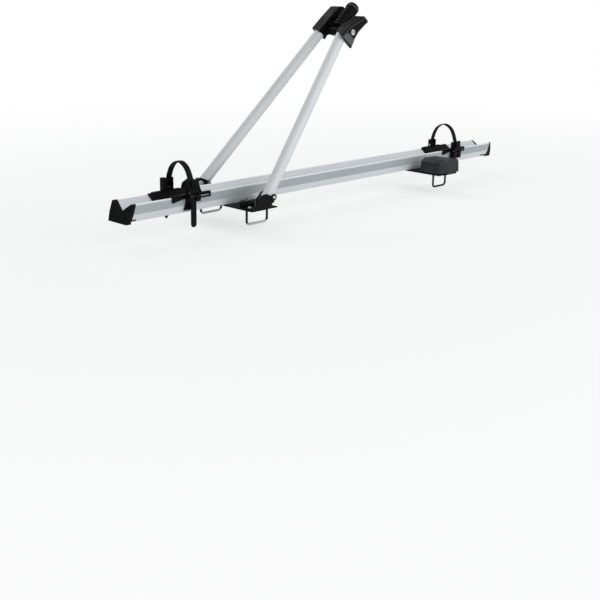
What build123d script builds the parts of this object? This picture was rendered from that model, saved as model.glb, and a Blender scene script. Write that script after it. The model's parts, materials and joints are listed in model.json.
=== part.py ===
from build123d import *
import math
import os

os.makedirs("parts", exist_ok=True)

# Frame of the part: +X runs to the rear along the rail, +Y to the far side, +Z up.
# The origin is the middle of the front base plate's underside, on the front roof bar.

# Shared clearances and allowances
face_gap = 0.3  # between faces of pieces that move past each other
run_gap = 0.05  # radial clearance of a shaft, bush or thread in its bore
overrun = 20.0  # how far a cutting shape runs past what it cuts
edge_round = 0.8

# Rail: a hollow extrusion with a V trough and a slot underneath
rail_wide = 74.0
rail_high = 40.0
rail_long = 1458.0
rail_front_x = -349.0
rail_wall = 2.0
strip_high = 16.5
strip_inset = 4.0
lip_wide = 5.0
trough_floor = 16.2
slot_wide = 8.4
nut_channel_wide = 17.0
nut_channel_high = 6.0
front_end_lean = 13.0
rear_end_lean = 16.0

# End caps
front_cap_top_thick = 11.0
front_cap_foot_thick = 14.0
rear_cap_top_thick = 4.0
rear_cap_foot_thick = 25.0
front_cap_drop = 5.0
rear_cap_drop = 3.0
cap_plug_long = 16.0
cap_corner_round = 1.5
cap_proud = 0.8
cap_tab_long = 13.0
rear_cap_tab_long = 32.0
cap_tab_high = 2.5
cap_tab_thick = 1.2
cap_tab_rise = 2.5

# Front base plate
plate_thick = 4.0
plate_corner = 5.0
front_plate_fore = 60.0
front_plate_aft = 48.0
front_plate_reach = 130.0
front_plate_cut_x = 60.0
front_plate_cut_y = 38.0

# Screws and nuts of the rail
rail_screw_d = 6.0
rail_screw_head_d = 12.0
screw_cone_deg = 90.0
rail_screw_x = 42.0
rear_screw_x = 30.0
key_across = 4.0
key_deep = 2.0
rail_nut_long = 16.0
rail_nut_high = 5.0
rail_nut_slack = 0.6

# U-bolts, washers and knobs
rod_d = 6.0
rod_bend = 9.0
front_legs_apart = 70.0
front_u_bolt_inset = 44.5
front_u_bolt_drop = 42.0
rear_legs_apart = 60.0
rear_u_bolt_y = -114.0
rear_u_bolt_drop = 38.0
leg_above_knob = 4.0
leg_hole_gap = 0.5
washer_d = 18.0
washer_thick = 1.6
knob_d = 38.0
knob_high = 15.0
knob_lobes = 8
knob_scallop_d = 12.0
knob_scallop_out = 3.2
flange_d = 14.0
flange_thick = 1.6
nut_across = 10.0
nut_high = 7.0
skirt_high = 6.0
shoulder_high = 11.5
knob_shoulder_share = 0.84
knob_crown_share = 0.45

# Feet of the arms
ear_thick = 3.0
web_thick = 3.0
ear_inset = 31.5
ear_room = 36.8
ear_foot_wide = 31.0
ear_mid_x = 0.0
ear_round = 2.0
web_fore = 58.0
web_aft = 12.0
web_inset = 9.5
pivot_x = 3.0
pivot_z = 31.0
eye_d = 15.0
foot_screw_d = 6.0
foot_screw_head_d = 10.5
foot_screw_head_high = 3.4
foot_screw_fore_x = -50.0
foot_screw_aft_x = -24.0
foot_screw_in = 4.8
ear_span = 60.0
outer_ear_shares = [
    (-1.0, 0.0), (-0.84, 0.49), (-0.58, 0.61), (-0.32, 0.63), (0.02, 0.45), (0.12, 0.36), (-0.19, 0.0),
]
far_ear_shares = [
    (-0.13, 0.0), (-0.13, 0.42), (-0.2, 0.53), (-0.38, 0.62), (-0.55, 0.57), (-0.62, 0.45), (-0.7, 0.53),
    (-0.62, 0.67), (-0.4, 0.74), (-0.08, 0.62), (0.12, 0.42), (0.258, 0.3), (0.258, 0.0),
]
near_ear_shares = [
    (-0.258, 0.0), (-0.258, 0.35), (0.1, 0.61), (0.22, 0.58), (0.258, 0.45), (0.258, 0.0),
]

# Pivot bolts, bushes and nuts
pivot_d = 6.0
pivot_head_d = 10.5
pivot_head_high = 3.3
pivot_head_taper = 30.0
pivot_nut_across = 10.0
pivot_nut_high = 5.5
bush_d = 10.0

# Arm tubes
tube_d = 28.0
tube_wall = 1.5
tube_tail = 17.0
arm_rise_deg = 46.8
arm_run = 502.7
arm_foot_inset = 11.4
arm_head_y = 40.8
tube_seat = 6.0

# Clamp head
jaw_inner_y = 28.0
jaw_wide = 34.0
jaw_span = 100.0
near_jaw_start = 0.0
far_jaw_start = 8.0
near_jaw_skew = 20.0
far_jaw_skew = -10.0
jaw_round = 4.0
near_jaw_edge_round = 2.0
far_jaw_edge_round = 3.0
near_jaw_shares = [
    (-0.087, -0.366), (-0.135, 0.19), (0.25, 0.1), (0.38, 0.065), (0.63, -0.055), (0.875, -0.158),
    (0.895, -0.397), (0.7, -0.342), (0.438, -0.285), (0.22, -0.293),
]
far_jaw_shares = [
    (0.0, -0.19), (0.0, 0.17), (0.57, 0.085), (1.02, 0.0), (1.14, -0.12), (1.13, -0.3), (1.0, -0.4),
    (0.75, -0.4), (0.52, -0.32), (0.3, -0.16),
]
spindle_s = 27.0
spindle_m = -11.6
spindle_d = 10.0
spindle_boss_d = 22.0
barrel_nut_d = 16.0
barrel_nut_thick = 2.6
barrel_recess_gap = 0.35
barrel_recess_deep = 3.0
barrel_key_across = 6.0
barrel_key_deep = 1.6
spacer_d = 20.0

# Clamp pads
pad_shares = [
    (0.38, 0.035), (0.6, -0.065), (0.82, -0.155), (0.82, -0.215), (0.57, -0.185), (0.38, -0.165),
]
pad_round = 1.6
pad_plate_thick = 2.8
pad_rubber_thick = 1.9
pad_stud_d = 6.0
pad_stud_long = 14.0
pad_stud_shares = [(0.46, -0.07), (0.62, -0.13)]

# Clamp handle
handle_rise_deg = 42.0
hub_d = 23.0
hub_wide = 20.0
grip_neck_d = 18.0
grip_start = 12.5
grip_d = 35.0
grip_long = 66.0
grip_groove_deep = 1.6
grip_slope = 1.4
grip_ribs = 6
band_wide = 4.0
band_deep = 1.5
handle_knob_d = 36.0
handle_knob_lead = 5.0
handle_crown_d = 16.0
handle_end = 98.0

# Rear base plate and cover
rear_bracket_inset = 380.0
rear_plate_wide = 92.0
rear_plate_far_y = 45.0
rear_plate_near_y = -145.0
cover_high = 40.0
cover_shoulder = 8.0
cover_wall = 2.5
cover_near_y = -151.0
cover_span = 80.0
cover_foot_shares = [(-0.51, 1.0), (-0.587, 0.4), (-0.525, 0.11), (-0.15, 0.025), (0.55, 0.0), (0.55, 0.95)]
cover_shoulder_shares = [
    (-0.49, 0.96), (-0.575, 0.39), (-0.513, 0.12), (-0.14, 0.035), (0.525, 0.01), (0.49, 0.94),
]
cover_top_shares = [(-0.31, 0.97), (-0.34, 0.44), (-0.27, 0.15), (-0.09, 0.06), (0.46, 0.04), (0.275, 0.91)]
hinge_d = 2.6
hinge_knuckle_d = 4.4
hinge_z = 2.4
hinge_out = 4.5
hinge_long = 60.0
hinge_knuckle_wide = 16.0
hinge_lug_thick = 3.0
hinge_lug_rise = 6.0

# Wheel trays
front_tray_inset = 174.0
rear_tray_inset = 207.0
tray_wall = 3.0
tray_gap = 0.3
tray_fore = 73.0
tray_aft = 28.0
liner_aft = 57.0
tray_lip_fore = 56.5
front_tab_aft = 63.0
rear_tab_aft = 58.0
flange_end_drop = 12.0
flange_drop = 4.5
flange_waist = 8.0
tab_drop = 10.0
tab_bar = 3.0
skirt_fore = 22.0
skirt_slope = 11.0
skirt_wide = 29.0
skirt_drop = 34.0
tip_fore = 20.0
tip_wide = 16.0
tip_drop = 68.0
tip_point = 9.0

# Buckles, levers, far blocks and pins of the trays
rear_buckle_sink = 12.0
buckle_wide = 34.0
buckle_low = 31.0
buckle_top = 80.0
buckle_deep = 16.0
buckle_back = 7.4
strap_room = 3.0
cheek_thick = 6.0
bridge_top = 48.0
front_block_fore = 20.0
rear_block_fore = 11.0
far_block_aft = 11.0
far_block_thick = 11.0
front_block_top = 76.0
rear_block_top = 66.0
far_block_low = 40.0
anchor_pin_d = 6.0
anchor_pin_z = 49.0
lever_pin_d = 4.0
lever_pin_z = 54.0
lever_pin_in = 2.4
lever_thick = 5.0
lever_top = 83.0
lever_lip = 3.0
tray_screw_d = 5.0
tray_screw_head_d = 9.0
tray_screw_head_high = 1.6
tray_screw_z = 40.0

# Wheel straps
strap_wide = 16.0
strap_thick = 2.4
strap_half = 41.0
front_strap_top = 121.0
rear_strap_top = 118.5
strap_bend_z = 76.0
strap_jog = 12.0
front_tail_z = -32.0
rear_tail_z = 24.0

# Values worked out from the sizes above
rail_base = plate_thick
rail_top = rail_base + rail_high
half_wide = rail_wide / 2
cap_top_z = rail_top + cap_proud
front_lean_rate = front_end_lean / rail_high
rear_lean_rate = rear_end_lean / rail_high
rail_rear_x = rail_front_x + rail_long
rear_bracket_x = rail_rear_x - rear_bracket_inset
front_tray_x = rail_front_x + front_tray_inset
rear_tray_x = rail_rear_x - rear_tray_inset
front_u_bolt_y = front_plate_reach - front_u_bolt_inset
inner_ear_y = front_plate_reach - ear_inset
arm_foot_y = front_plate_reach - arm_foot_inset
knob_base = plate_thick + washer_thick + face_gap
front_leg_top = knob_base + knob_high + leg_above_knob
rear_leg_top = knob_base + nut_high + leg_above_knob
outer_ear_y = inner_ear_y + ear_thick + ear_room
foot_out_y = outer_ear_y + ear_thick
rise = math.radians(arm_rise_deg)
head_x = pivot_x + arm_run * math.cos(rise)
head_z = pivot_z + arm_run * math.sin(rise)
jaw_outer_y = jaw_inner_y + jaw_wide
head_along = (math.cos(rise), 0, math.sin(rise))
spindle_x = head_x + spindle_s * math.cos(rise) - spindle_m * math.sin(rise)
spindle_z = head_z + spindle_s * math.sin(rise) + spindle_m * math.cos(rise)
hinge_y = rear_plate_near_y - hinge_out
front_leg_places = [
    (x, y) for y in (-front_u_bolt_y, front_u_bolt_y) for x in (-front_legs_apart / 2, front_legs_apart / 2)
]
rear_leg_places = [
    (rear_bracket_x - rear_legs_apart / 2, rear_u_bolt_y),
    (rear_bracket_x + rear_legs_apart / 2, rear_u_bolt_y),
]
foot_screw_y = inner_ear_y + web_inset + foot_screw_in
foot_screw_places = [
    (x, side * foot_screw_y) for side in (-1, 1) for x in (foot_screw_fore_x, foot_screw_aft_x)
]
tab_share = (cap_tab_rise + cap_tab_high) / strip_high
tab_y = half_wide - strip_inset * (1 - tab_share) + 2 * run_gap
cover_low = hinge_z + hinge_knuckle_d / 2 + face_gap
cover_top = plate_thick + cover_high
flange_y = half_wide + tray_gap
buckle_y = flange_y + tray_wall
strap_y = buckle_y + buckle_back + strap_room / 2
lever_y = buckle_y + buckle_deep - lever_pin_in
anchor_y = flange_y + tray_wall + far_block_thick / 2
strap_slot_z = anchor_pin_z - anchor_pin_d / 2 - strap_thick - face_gap
anchor_strap_z = anchor_pin_z + anchor_pin_d / 2 + strap_thick / 2
back_top = strap_bend_z - strap_jog - strap_thick
cheek_shoulder_z = lever_pin_z + lever_thick
lever_bend_z = lever_top - lever_thick - lever_lip


def scaled(shares, size):
    """Outline points from a table of shares."""
    return [(size * a, size * b) for a, b in shares]


def save(piece, name):
    """Label a finished piece and write it under its own name."""
    piece.label = name
    export_step(piece, f"parts/{name}.step")
    print(name, len(piece.solids()), round(piece.volume))


# Rail
with BuildPart() as rail:
    with BuildSketch(Plane.YZ.offset(rail_front_x)):
        with BuildLine():
            Polyline(
                (-half_wide + strip_inset, rail_base), (half_wide - strip_inset, rail_base),
                (half_wide, rail_base + strip_high), (half_wide, rail_top), (half_wide - lip_wide, rail_top),
                (0, rail_base + trough_floor), (-half_wide + lip_wide, rail_top), (-half_wide, rail_top),
                (-half_wide, rail_base + strip_high), close=True,
            )
        outline = make_face()
        offset(outline, amount=-rail_wall, kind=Kind.INTERSECTION, mode=Mode.SUBTRACT)
        with Locations((0, rail_base)):
            Rectangle(
                nut_channel_wide + 2 * rail_wall, nut_channel_high + 2 * rail_wall,
                align=(Align.CENTER, Align.MIN),
            )
        with Locations((0, rail_base + rail_wall)):
            Rectangle(
                nut_channel_wide, nut_channel_high, align=(Align.CENTER, Align.MIN), mode=Mode.SUBTRACT,
            )
        with Locations((0, rail_base)):
            Rectangle(slot_wide, rail_wall, align=(Align.CENTER, Align.MIN), mode=Mode.SUBTRACT)
    extrude(amount=rail_long)
    with BuildSketch(Plane.XZ.offset(-rail_wide)):
        with BuildLine():
            Polyline(
                (rail_front_x, rail_base), (rail_rear_x - rear_end_lean, rail_base),
                (rail_rear_x, rail_top), (rail_front_x + front_end_lean, rail_top), close=True,
            )
        make_face()
    extrude(amount=2 * rail_wide, mode=Mode.INTERSECT)
save(rail.part, "rail")


# End caps: a wedge over each end of the rail with two plugs inside its hollows
def cap_section(drop):
    """Section of an end cap across the rail, with the notch of the trough."""
    with BuildSketch() as section:
        with BuildLine():
            Polyline(
                (-half_wide + strip_inset, rail_base - drop), (half_wide - strip_inset, rail_base - drop),
                (half_wide, rail_base + strip_high), (half_wide, rail_top), (half_wide - lip_wide, rail_top),
                (0, rail_base + trough_floor), (-half_wide + lip_wide, rail_top), (-half_wide, rail_top),
                (-half_wide, rail_base + strip_high), close=True,
            )
        make_face()
        offset(amount=cap_proud, kind=Kind.INTERSECTION)
        corners = section.vertices().filter_by(lambda v: v.Y > rail_top or v.Y < rail_base)
        fillet(corners, radius=cap_corner_round)
    return section.sketch


def plug_section():
    """Section of the two plugs that fill the side hollows of the rail's end."""
    inside = half_wide - rail_wall - face_gap
    core = nut_channel_wide / 2 + rail_wall + face_gap
    low = rail_base + rail_wall + face_gap
    with BuildSketch() as section:
        for side in (-1, 1):
            with BuildLine():
                Polyline(
                    (side * core, low), (side * (inside - strip_inset), low),
                    (side * inside, rail_base + strip_high), (side * core, rail_base + strip_high),
                    close=True,
                )
            make_face()
    return section.sketch


front_foot_x = rail_front_x - front_cap_foot_thick
with BuildPart() as front_end_cap:
    with BuildSketch(Plane.XZ.offset(-rail_wide)):
        with BuildLine():
            Polyline(
                (front_foot_x, rail_base - front_cap_drop),
                (rail_front_x - face_gap, rail_base - front_cap_drop),
                (rail_front_x - face_gap, rail_base),
                (rail_front_x + front_end_lean + front_lean_rate * cap_proud - face_gap, cap_top_z),
                (rail_front_x + front_end_lean - front_cap_top_thick, cap_top_z), close=True,
            )
        make_face()
    extrude(amount=2 * rail_wide)
    extrude(Plane.YZ.offset(front_foot_x) * cap_section(front_cap_drop), amount=overrun + rail_high,
            mode=Mode.INTERSECT)
    extrude(Plane.YZ.offset(rail_front_x - face_gap) * plug_section(), amount=cap_plug_long)
    with BuildSketch(Plane.XY.offset(rail_base + cap_tab_rise)):
        for side in (-1, 1):
            with Locations((rail_front_x - front_cap_foot_thick / 2, side * (tab_y + cap_tab_thick / 2))):
                Rectangle(
                    cap_tab_long + front_cap_foot_thick / 2, cap_tab_thick, align=(Align.MIN, Align.CENTER),
                )
    extrude(amount=cap_tab_high)
save(front_end_cap.part, "front_end_cap")

rear_foot_x = rail_rear_x - rear_end_lean
with BuildPart() as rear_end_cap:
    with BuildSketch(Plane.XZ.offset(-rail_wide)):
        with BuildLine():
            Polyline(
                (rear_foot_x + face_gap, rail_base - rear_cap_drop),
                (rear_foot_x + rear_cap_foot_thick, rail_base - rear_cap_drop),
                (rail_rear_x + rear_cap_top_thick, cap_top_z),
                (rail_rear_x + rear_lean_rate * cap_proud + face_gap, cap_top_z),
                (rear_foot_x + face_gap, rail_base), close=True,
            )
        make_face()
    extrude(amount=2 * rail_wide)
    extrude(Plane.YZ.offset(rear_foot_x) * cap_section(rear_cap_drop), amount=overrun + rail_high,
            mode=Mode.INTERSECT)
    extrude(
        Plane.YZ.offset(rear_foot_x + face_gap - cap_plug_long) * plug_section(), amount=2 * cap_plug_long,
    )
    with BuildSketch(Plane.XY.offset(rail_base + cap_tab_rise)):
        for side in (-1, 1):
            with Locations((rear_foot_x + rear_cap_foot_thick / 2, side * (tab_y + cap_tab_thick / 2))):
                Rectangle(
                    rear_cap_tab_long + rear_cap_foot_thick / 2, cap_tab_thick,
                    align=(Align.MAX, Align.CENTER),
                )
    extrude(amount=cap_tab_high)
save(rear_end_cap.part, "rear_end_cap")


# Base plates
with BuildPart() as front_base_plate:
    with BuildSketch() as front_plate_face:
        with BuildLine():
            Polyline(
                (-front_plate_fore, -front_plate_reach),
                (front_plate_aft - front_plate_cut_x, -front_plate_reach),
                (front_plate_aft, front_plate_cut_y - front_plate_reach),
                (front_plate_aft, front_plate_reach - front_plate_cut_y),
                (front_plate_aft - front_plate_cut_x, front_plate_reach),
                (-front_plate_fore, front_plate_reach),
                close=True,
            )
        make_face()
        fillet(front_plate_face.vertices(), radius=plate_corner)
        with Locations(*front_leg_places):
            Circle(rod_d / 2 + leg_hole_gap, mode=Mode.SUBTRACT)
        with Locations(*foot_screw_places):
            Circle(foot_screw_d / 2 + run_gap, mode=Mode.SUBTRACT)
    extrude(amount=plate_thick)
    with Locations(*[Location((x, 0, 0), (0, 180, 0)) for x in (-rail_screw_x, rail_screw_x)]):
        CounterSinkHole(
            rail_screw_d / 2 + run_gap, rail_screw_head_d / 2 + run_gap, depth=plate_thick,
            counter_sink_angle=screw_cone_deg,
        )
save(front_base_plate.part, "front_base_plate")

hinge_lug_places = [rear_bracket_x + side * (hinge_long - hinge_knuckle_wide) / 2 for side in (-1, 1)]
with BuildPart() as rear_base_plate:
    with BuildSketch() as rear_plate_face:
        with Locations((rear_bracket_x, (rear_plate_far_y + rear_plate_near_y) / 2)):
            Rectangle(rear_plate_wide, rear_plate_far_y - rear_plate_near_y)
        fillet(rear_plate_face.vertices(), radius=plate_corner)
        with Locations(*rear_leg_places):
            Circle(rod_d / 2 + leg_hole_gap, mode=Mode.SUBTRACT)
    extrude(amount=plate_thick)
    with Locations(*[
        Location((rear_bracket_x + x, 0, 0), (0, 180, 0)) for x in (-rear_screw_x, rear_screw_x)
    ]):
        CounterSinkHole(
            rail_screw_d / 2 + run_gap, rail_screw_head_d / 2 + run_gap, depth=plate_thick,
            counter_sink_angle=screw_cone_deg,
        )
    for x in hinge_lug_places:
        with BuildSketch(Plane.YZ.offset(x - hinge_knuckle_wide / 2)):
            with Locations((hinge_y, hinge_z)):
                Circle(hinge_knuckle_d / 2)
            with Locations((hinge_y, hinge_z)):
                Rectangle(hinge_out + plate_corner, hinge_lug_thick, align=(Align.MIN, Align.CENTER))
            with Locations((hinge_y, hinge_z)):
                Circle(hinge_d / 2 + run_gap, mode=Mode.SUBTRACT)
        extrude(amount=hinge_knuckle_wide)
save(rear_base_plate.part, "rear_base_plate")


# Screws of the rail, and the nuts that they pull up in its slot
def rail_screws(name, middle_x, reach):
    """Two countersunk screws from below a base plate, as one group."""
    cone = (rail_screw_head_d - rail_screw_d) / 2
    screw_top = rail_base + rail_wall + rail_nut_high
    with BuildPart() as screws:
        for x in (middle_x - reach, middle_x + reach):
            with BuildSketch(Plane.XZ):
                with BuildLine():
                    Polyline(
                        (x, face_gap), (x + rail_screw_head_d / 2 - face_gap, face_gap),
                        (x + rail_screw_d / 2, cone), (x + rail_screw_d / 2, screw_top), (x, screw_top),
                        close=True,
                    )
                make_face()
            revolve(axis=Axis((x, 0, 0), (0, 0, 1)))
            with BuildSketch(Plane.XY.offset(face_gap)):
                with Locations((x, 0)):
                    RegularPolygon(key_across / 2, 6, major_radius=False)
            extrude(amount=key_deep, mode=Mode.SUBTRACT)
    save(screws.part, name)


def rail_nuts(name, middle_x, reach):
    """Two blocks with a neck that fills the slot of the rail, as one group."""
    neck_low = rail_base + face_gap
    nut_low = rail_base + rail_wall
    with BuildPart() as nuts:
        for x in (middle_x - reach, middle_x + reach):
            with BuildSketch(Plane.XY.offset(nut_low + face_gap / 2)):
                with Locations((x, 0)):
                    Rectangle(rail_nut_long, nut_channel_wide - rail_nut_slack)
                    Circle(rail_screw_d / 2 + run_gap, mode=Mode.SUBTRACT)
            extrude(amount=rail_nut_high - face_gap / 2)
            with BuildSketch(Plane.XY.offset(neck_low)):
                with Locations((x, 0)):
                    Rectangle(rail_nut_long, slot_wide - rail_nut_slack)
                    Circle(rail_screw_d / 2 + run_gap, mode=Mode.SUBTRACT)
            extrude(amount=nut_low - neck_low + face_gap)
    save(nuts.part, name)


rail_screws("front_rail_screws", 0, rail_screw_x)
rail_nuts("front_rail_nuts", 0, rail_screw_x)
rail_screws("rear_rail_screws", rear_bracket_x, rear_screw_x)
rail_nuts("rear_rail_nuts", rear_bracket_x, rear_screw_x)


# U-bolts round the roof bars
def u_bolt(name, middle_x, y, apart, drop, leg_top):
    """One bent rod: two legs up through the base plate and a bar under the roof bar."""
    with BuildPart() as rod:
        with BuildLine(Plane.XZ.offset(-y)) as path:
            FilletPolyline(
                (middle_x - apart / 2, leg_top), (middle_x - apart / 2, -drop),
                (middle_x + apart / 2, -drop), (middle_x + apart / 2, leg_top), radius=rod_bend,
            )
        with BuildSketch(Plane((middle_x - apart / 2, y, leg_top), z_dir=(0, 0, -1))):
            Circle(rod_d / 2)
        sweep()
        ends = rod.faces().filter_by(Axis.Z).edges()
        chamfer(ends, length=edge_round)
    save(rod.part, name)


u_bolt("front_u_bolt_near", 0, -front_u_bolt_y, front_legs_apart, front_u_bolt_drop, front_leg_top)
u_bolt("front_u_bolt_far", 0, front_u_bolt_y, front_legs_apart, front_u_bolt_drop, front_leg_top)
u_bolt("rear_u_bolt", rear_bracket_x, rear_u_bolt_y, rear_legs_apart, rear_u_bolt_drop, rear_leg_top)


# Washers and scalloped knobs on the legs of the U-bolts
def washers(name, places):
    """A group of flat washers on a base plate."""
    with BuildPart() as rings:
        with BuildSketch(Plane.XY.offset(plate_thick)):
            with Locations(*places):
                Circle(washer_d / 2)
                Circle(rod_d / 2 + leg_hole_gap, mode=Mode.SUBTRACT)
        extrude(amount=washer_thick)
    save(rings.part, name)


def knob(name, place):
    """A domed hand knob with round scallops, threaded on the leg of a U-bolt."""
    x, y = place
    radius = knob_d / 2
    bore = rod_d / 2 + run_gap
    with BuildPart() as grip:
        with BuildSketch(Plane.XZ.offset(-y)):
            with BuildLine():
                Polyline((x + bore, knob_base), (x + radius, knob_base), (x + radius, knob_base + skirt_high))
                ThreePointArc(
                    (x + radius, knob_base + skirt_high),
                    (x + radius * knob_shoulder_share, knob_base + shoulder_high),
                    (x + radius * knob_crown_share, knob_base + knob_high),
                )
                Polyline(
                    (x + radius * knob_crown_share, knob_base + knob_high), (x + bore, knob_base + knob_high),
                    (x + bore, knob_base),
                )
            make_face()
        revolve(axis=Axis((x, y, 0), (0, 0, 1)))
        with BuildSketch(Plane.XY.offset(knob_base)):
            with Locations((x, y)):
                with PolarLocations(radius + knob_scallop_out, knob_lobes):
                    Circle(knob_scallop_d / 2)
        extrude(amount=knob_high, mode=Mode.SUBTRACT)
    save(grip.part, name)


washers("front_knob_washers", front_leg_places)
washers("rear_knob_washers", rear_leg_places)
knob("front_knob_near_fore", front_leg_places[0])
knob("front_knob_near_aft", front_leg_places[1])
knob("front_knob_far_fore", front_leg_places[2])
knob("front_knob_far_aft", front_leg_places[3])


def flange_nut(name, place):
    """A hexagon nut with a round flange, threaded on a leg of the rear U-bolt."""
    bore = rod_d / 2 + run_gap
    with BuildPart() as nut:
        with BuildSketch(Plane.XY.offset(knob_base)):
            with Locations(place):
                Circle(flange_d / 2)
        extrude(amount=flange_thick)
        with BuildSketch(Plane.XY.offset(knob_base)):
            with Locations(place):
                RegularPolygon(nut_across / 2, 6, major_radius=False)
        extrude(amount=nut_high)
        with BuildSketch(Plane.XY.offset(knob_base)):
            with Locations(place):
                Circle(bore)
        extrude(amount=nut_high, mode=Mode.SUBTRACT)
    save(nut.part, name)


flange_nut("rear_nut_fore", rear_leg_places[0])
flange_nut("rear_nut_aft", rear_leg_places[1])


# Feet: a web on the base plate between two ears
def foot(name, side, inner_shares):
    """One steel foot; side is -1 at the near end of the base plate and 1 at the far end."""
    with BuildPart() as clevis:
        with BuildSketch(Plane.XY.offset(plate_thick)):
            with Locations((web_aft, side * (inner_ear_y + web_inset))):
                Rectangle(
                    web_fore + web_aft, foot_out_y - inner_ear_y - web_inset,
                    align=(Align.MAX, Align.MIN if side > 0 else Align.MAX),
                )
            with Locations((ear_mid_x, side * inner_ear_y)):
                Rectangle(
                    ear_foot_wide, foot_out_y - inner_ear_y,
                    align=(Align.CENTER, Align.MIN if side > 0 else Align.MAX),
                )
            with Locations(*foot_screw_places):
                Circle(foot_screw_d / 2 + run_gap, mode=Mode.SUBTRACT)
        extrude(amount=web_thick)
        for shares, y in ((outer_ear_shares, outer_ear_y), (inner_shares, inner_ear_y)):
            with BuildSketch(Plane.XZ.offset(-side * y)) as ear:
                with BuildLine():
                    Polyline(*[(a, plate_thick + b) for a, b in scaled(shares, ear_span)], close=True)
                make_face()
                fillet(ear.vertices().filter_by(lambda v: v.Z > plate_thick + web_thick), radius=ear_round)
                with Locations((pivot_x, pivot_z)):
                    Circle(eye_d / 2)
                with Locations((pivot_x, pivot_z)):
                    Circle(pivot_d / 2 + run_gap, mode=Mode.SUBTRACT)
            extrude(amount=-side * ear_thick)
    save(clevis.part, name)


foot("foot_near", -1, near_ear_shares)
foot("foot_far", 1, far_ear_shares)

with BuildPart() as foot_screws:
    for place in foot_screw_places:
        with BuildSketch(Plane.XY.offset(face_gap)):
            with Locations(place):
                Circle(foot_screw_d / 2)
        extrude(amount=plate_thick + web_thick + foot_screw_head_high / 2)
        with BuildSketch(Plane.XY.offset(plate_thick + web_thick)):
            with Locations(place):
                Circle(foot_screw_head_d / 2)
        extrude(amount=foot_screw_head_high)
    head_rims = foot_screws.faces().filter_by(Axis.Z).group_by(Axis.Z)[-1].edges()
    fillet(head_rims, radius=edge_round)
    for place in foot_screw_places:
        with BuildSketch(Plane.XY.offset(plate_thick + web_thick + foot_screw_head_high)):
            with Locations(place):
                RegularPolygon(key_across / 2, 6, major_radius=False)
        extrude(amount=-key_deep, mode=Mode.SUBTRACT)
save(foot_screws.part, "foot_screws")


# Pivot bolts through the ears, their nuts, and the bushes that the arms turn on
def along_y(side, y):
    """Plane square to Y at the pivot, looking away from the middle of the part."""
    return Plane(origin=(pivot_x, side * y, pivot_z), x_dir=(1, 0, 0), z_dir=(0, side, 0))


with BuildPart() as pivot_bolts:
    for side in (-1, 1):
        bolt_end = inner_ear_y - pivot_nut_high - face_gap
        with BuildSketch(along_y(side, bolt_end)):
            Circle(pivot_d / 2)
        extrude(amount=foot_out_y - bolt_end)
        with BuildSketch(along_y(side, foot_out_y)):
            Circle(pivot_head_d / 2)
        extrude(amount=pivot_head_high, taper=pivot_head_taper)
        with BuildSketch(along_y(side, foot_out_y + pivot_head_high)):
            RegularPolygon(key_across / 2, 6, major_radius=False)
        extrude(amount=-key_deep, mode=Mode.SUBTRACT)
save(pivot_bolts.part, "pivot_bolts")

with BuildPart() as pivot_nuts:
    for side in (-1, 1):
        with BuildSketch(along_y(side, inner_ear_y)):
            RegularPolygon(pivot_nut_across / 2, 6, major_radius=False)
            Circle(pivot_d / 2 + run_gap, mode=Mode.SUBTRACT)
        extrude(amount=-pivot_nut_high)
save(pivot_nuts.part, "pivot_nuts")

with BuildPart() as pivot_bushes:
    for side in (-1, 1):
        with BuildSketch(along_y(side, inner_ear_y + ear_thick + face_gap)):
            Circle(bush_d / 2)
            Circle(pivot_d / 2 + run_gap, mode=Mode.SUBTRACT)
        extrude(amount=ear_room - 2 * face_gap)
save(pivot_bushes.part, "pivot_bushes")


# Arm tubes, leaning in from the feet to the jaws
def arm_plane(side):
    """Plane square to an arm at the lower end of its tube."""
    lean = (arm_foot_y - arm_head_y) / arm_run
    way = Vector(math.cos(rise), -side * lean, math.sin(rise)).normalized()
    foot_point = Vector(pivot_x, side * arm_foot_y, pivot_z)
    return Plane(origin=foot_point - way * tube_tail, z_dir=way)


arm_long = math.hypot(arm_run + tube_seat, (arm_foot_y - arm_head_y) * (1 + tube_seat / arm_run)) + tube_tail
for side, name in ((-1, "arm_tube_near"), (1, "arm_tube_far")):
    with BuildPart() as arm_tube:
        with BuildSketch(arm_plane(side)):
            Circle(tube_d / 2)
            Circle(tube_d / 2 - tube_wall, mode=Mode.SUBTRACT)
        extrude(amount=arm_long)
        with BuildSketch(along_y(side, inner_ear_y)):
            Circle(bush_d / 2 + run_gap)
        extrude(amount=ear_room + 2 * ear_thick, mode=Mode.SUBTRACT)
    save(arm_tube.part, name)


# Jaws of the clamp head
def head_plane(y):
    """Plane of the head at this Y: x runs on along the arms, y up from them."""
    return Plane(origin=(head_x, y, head_z), x_dir=head_along, z_dir=(0, -1, 0))


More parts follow.
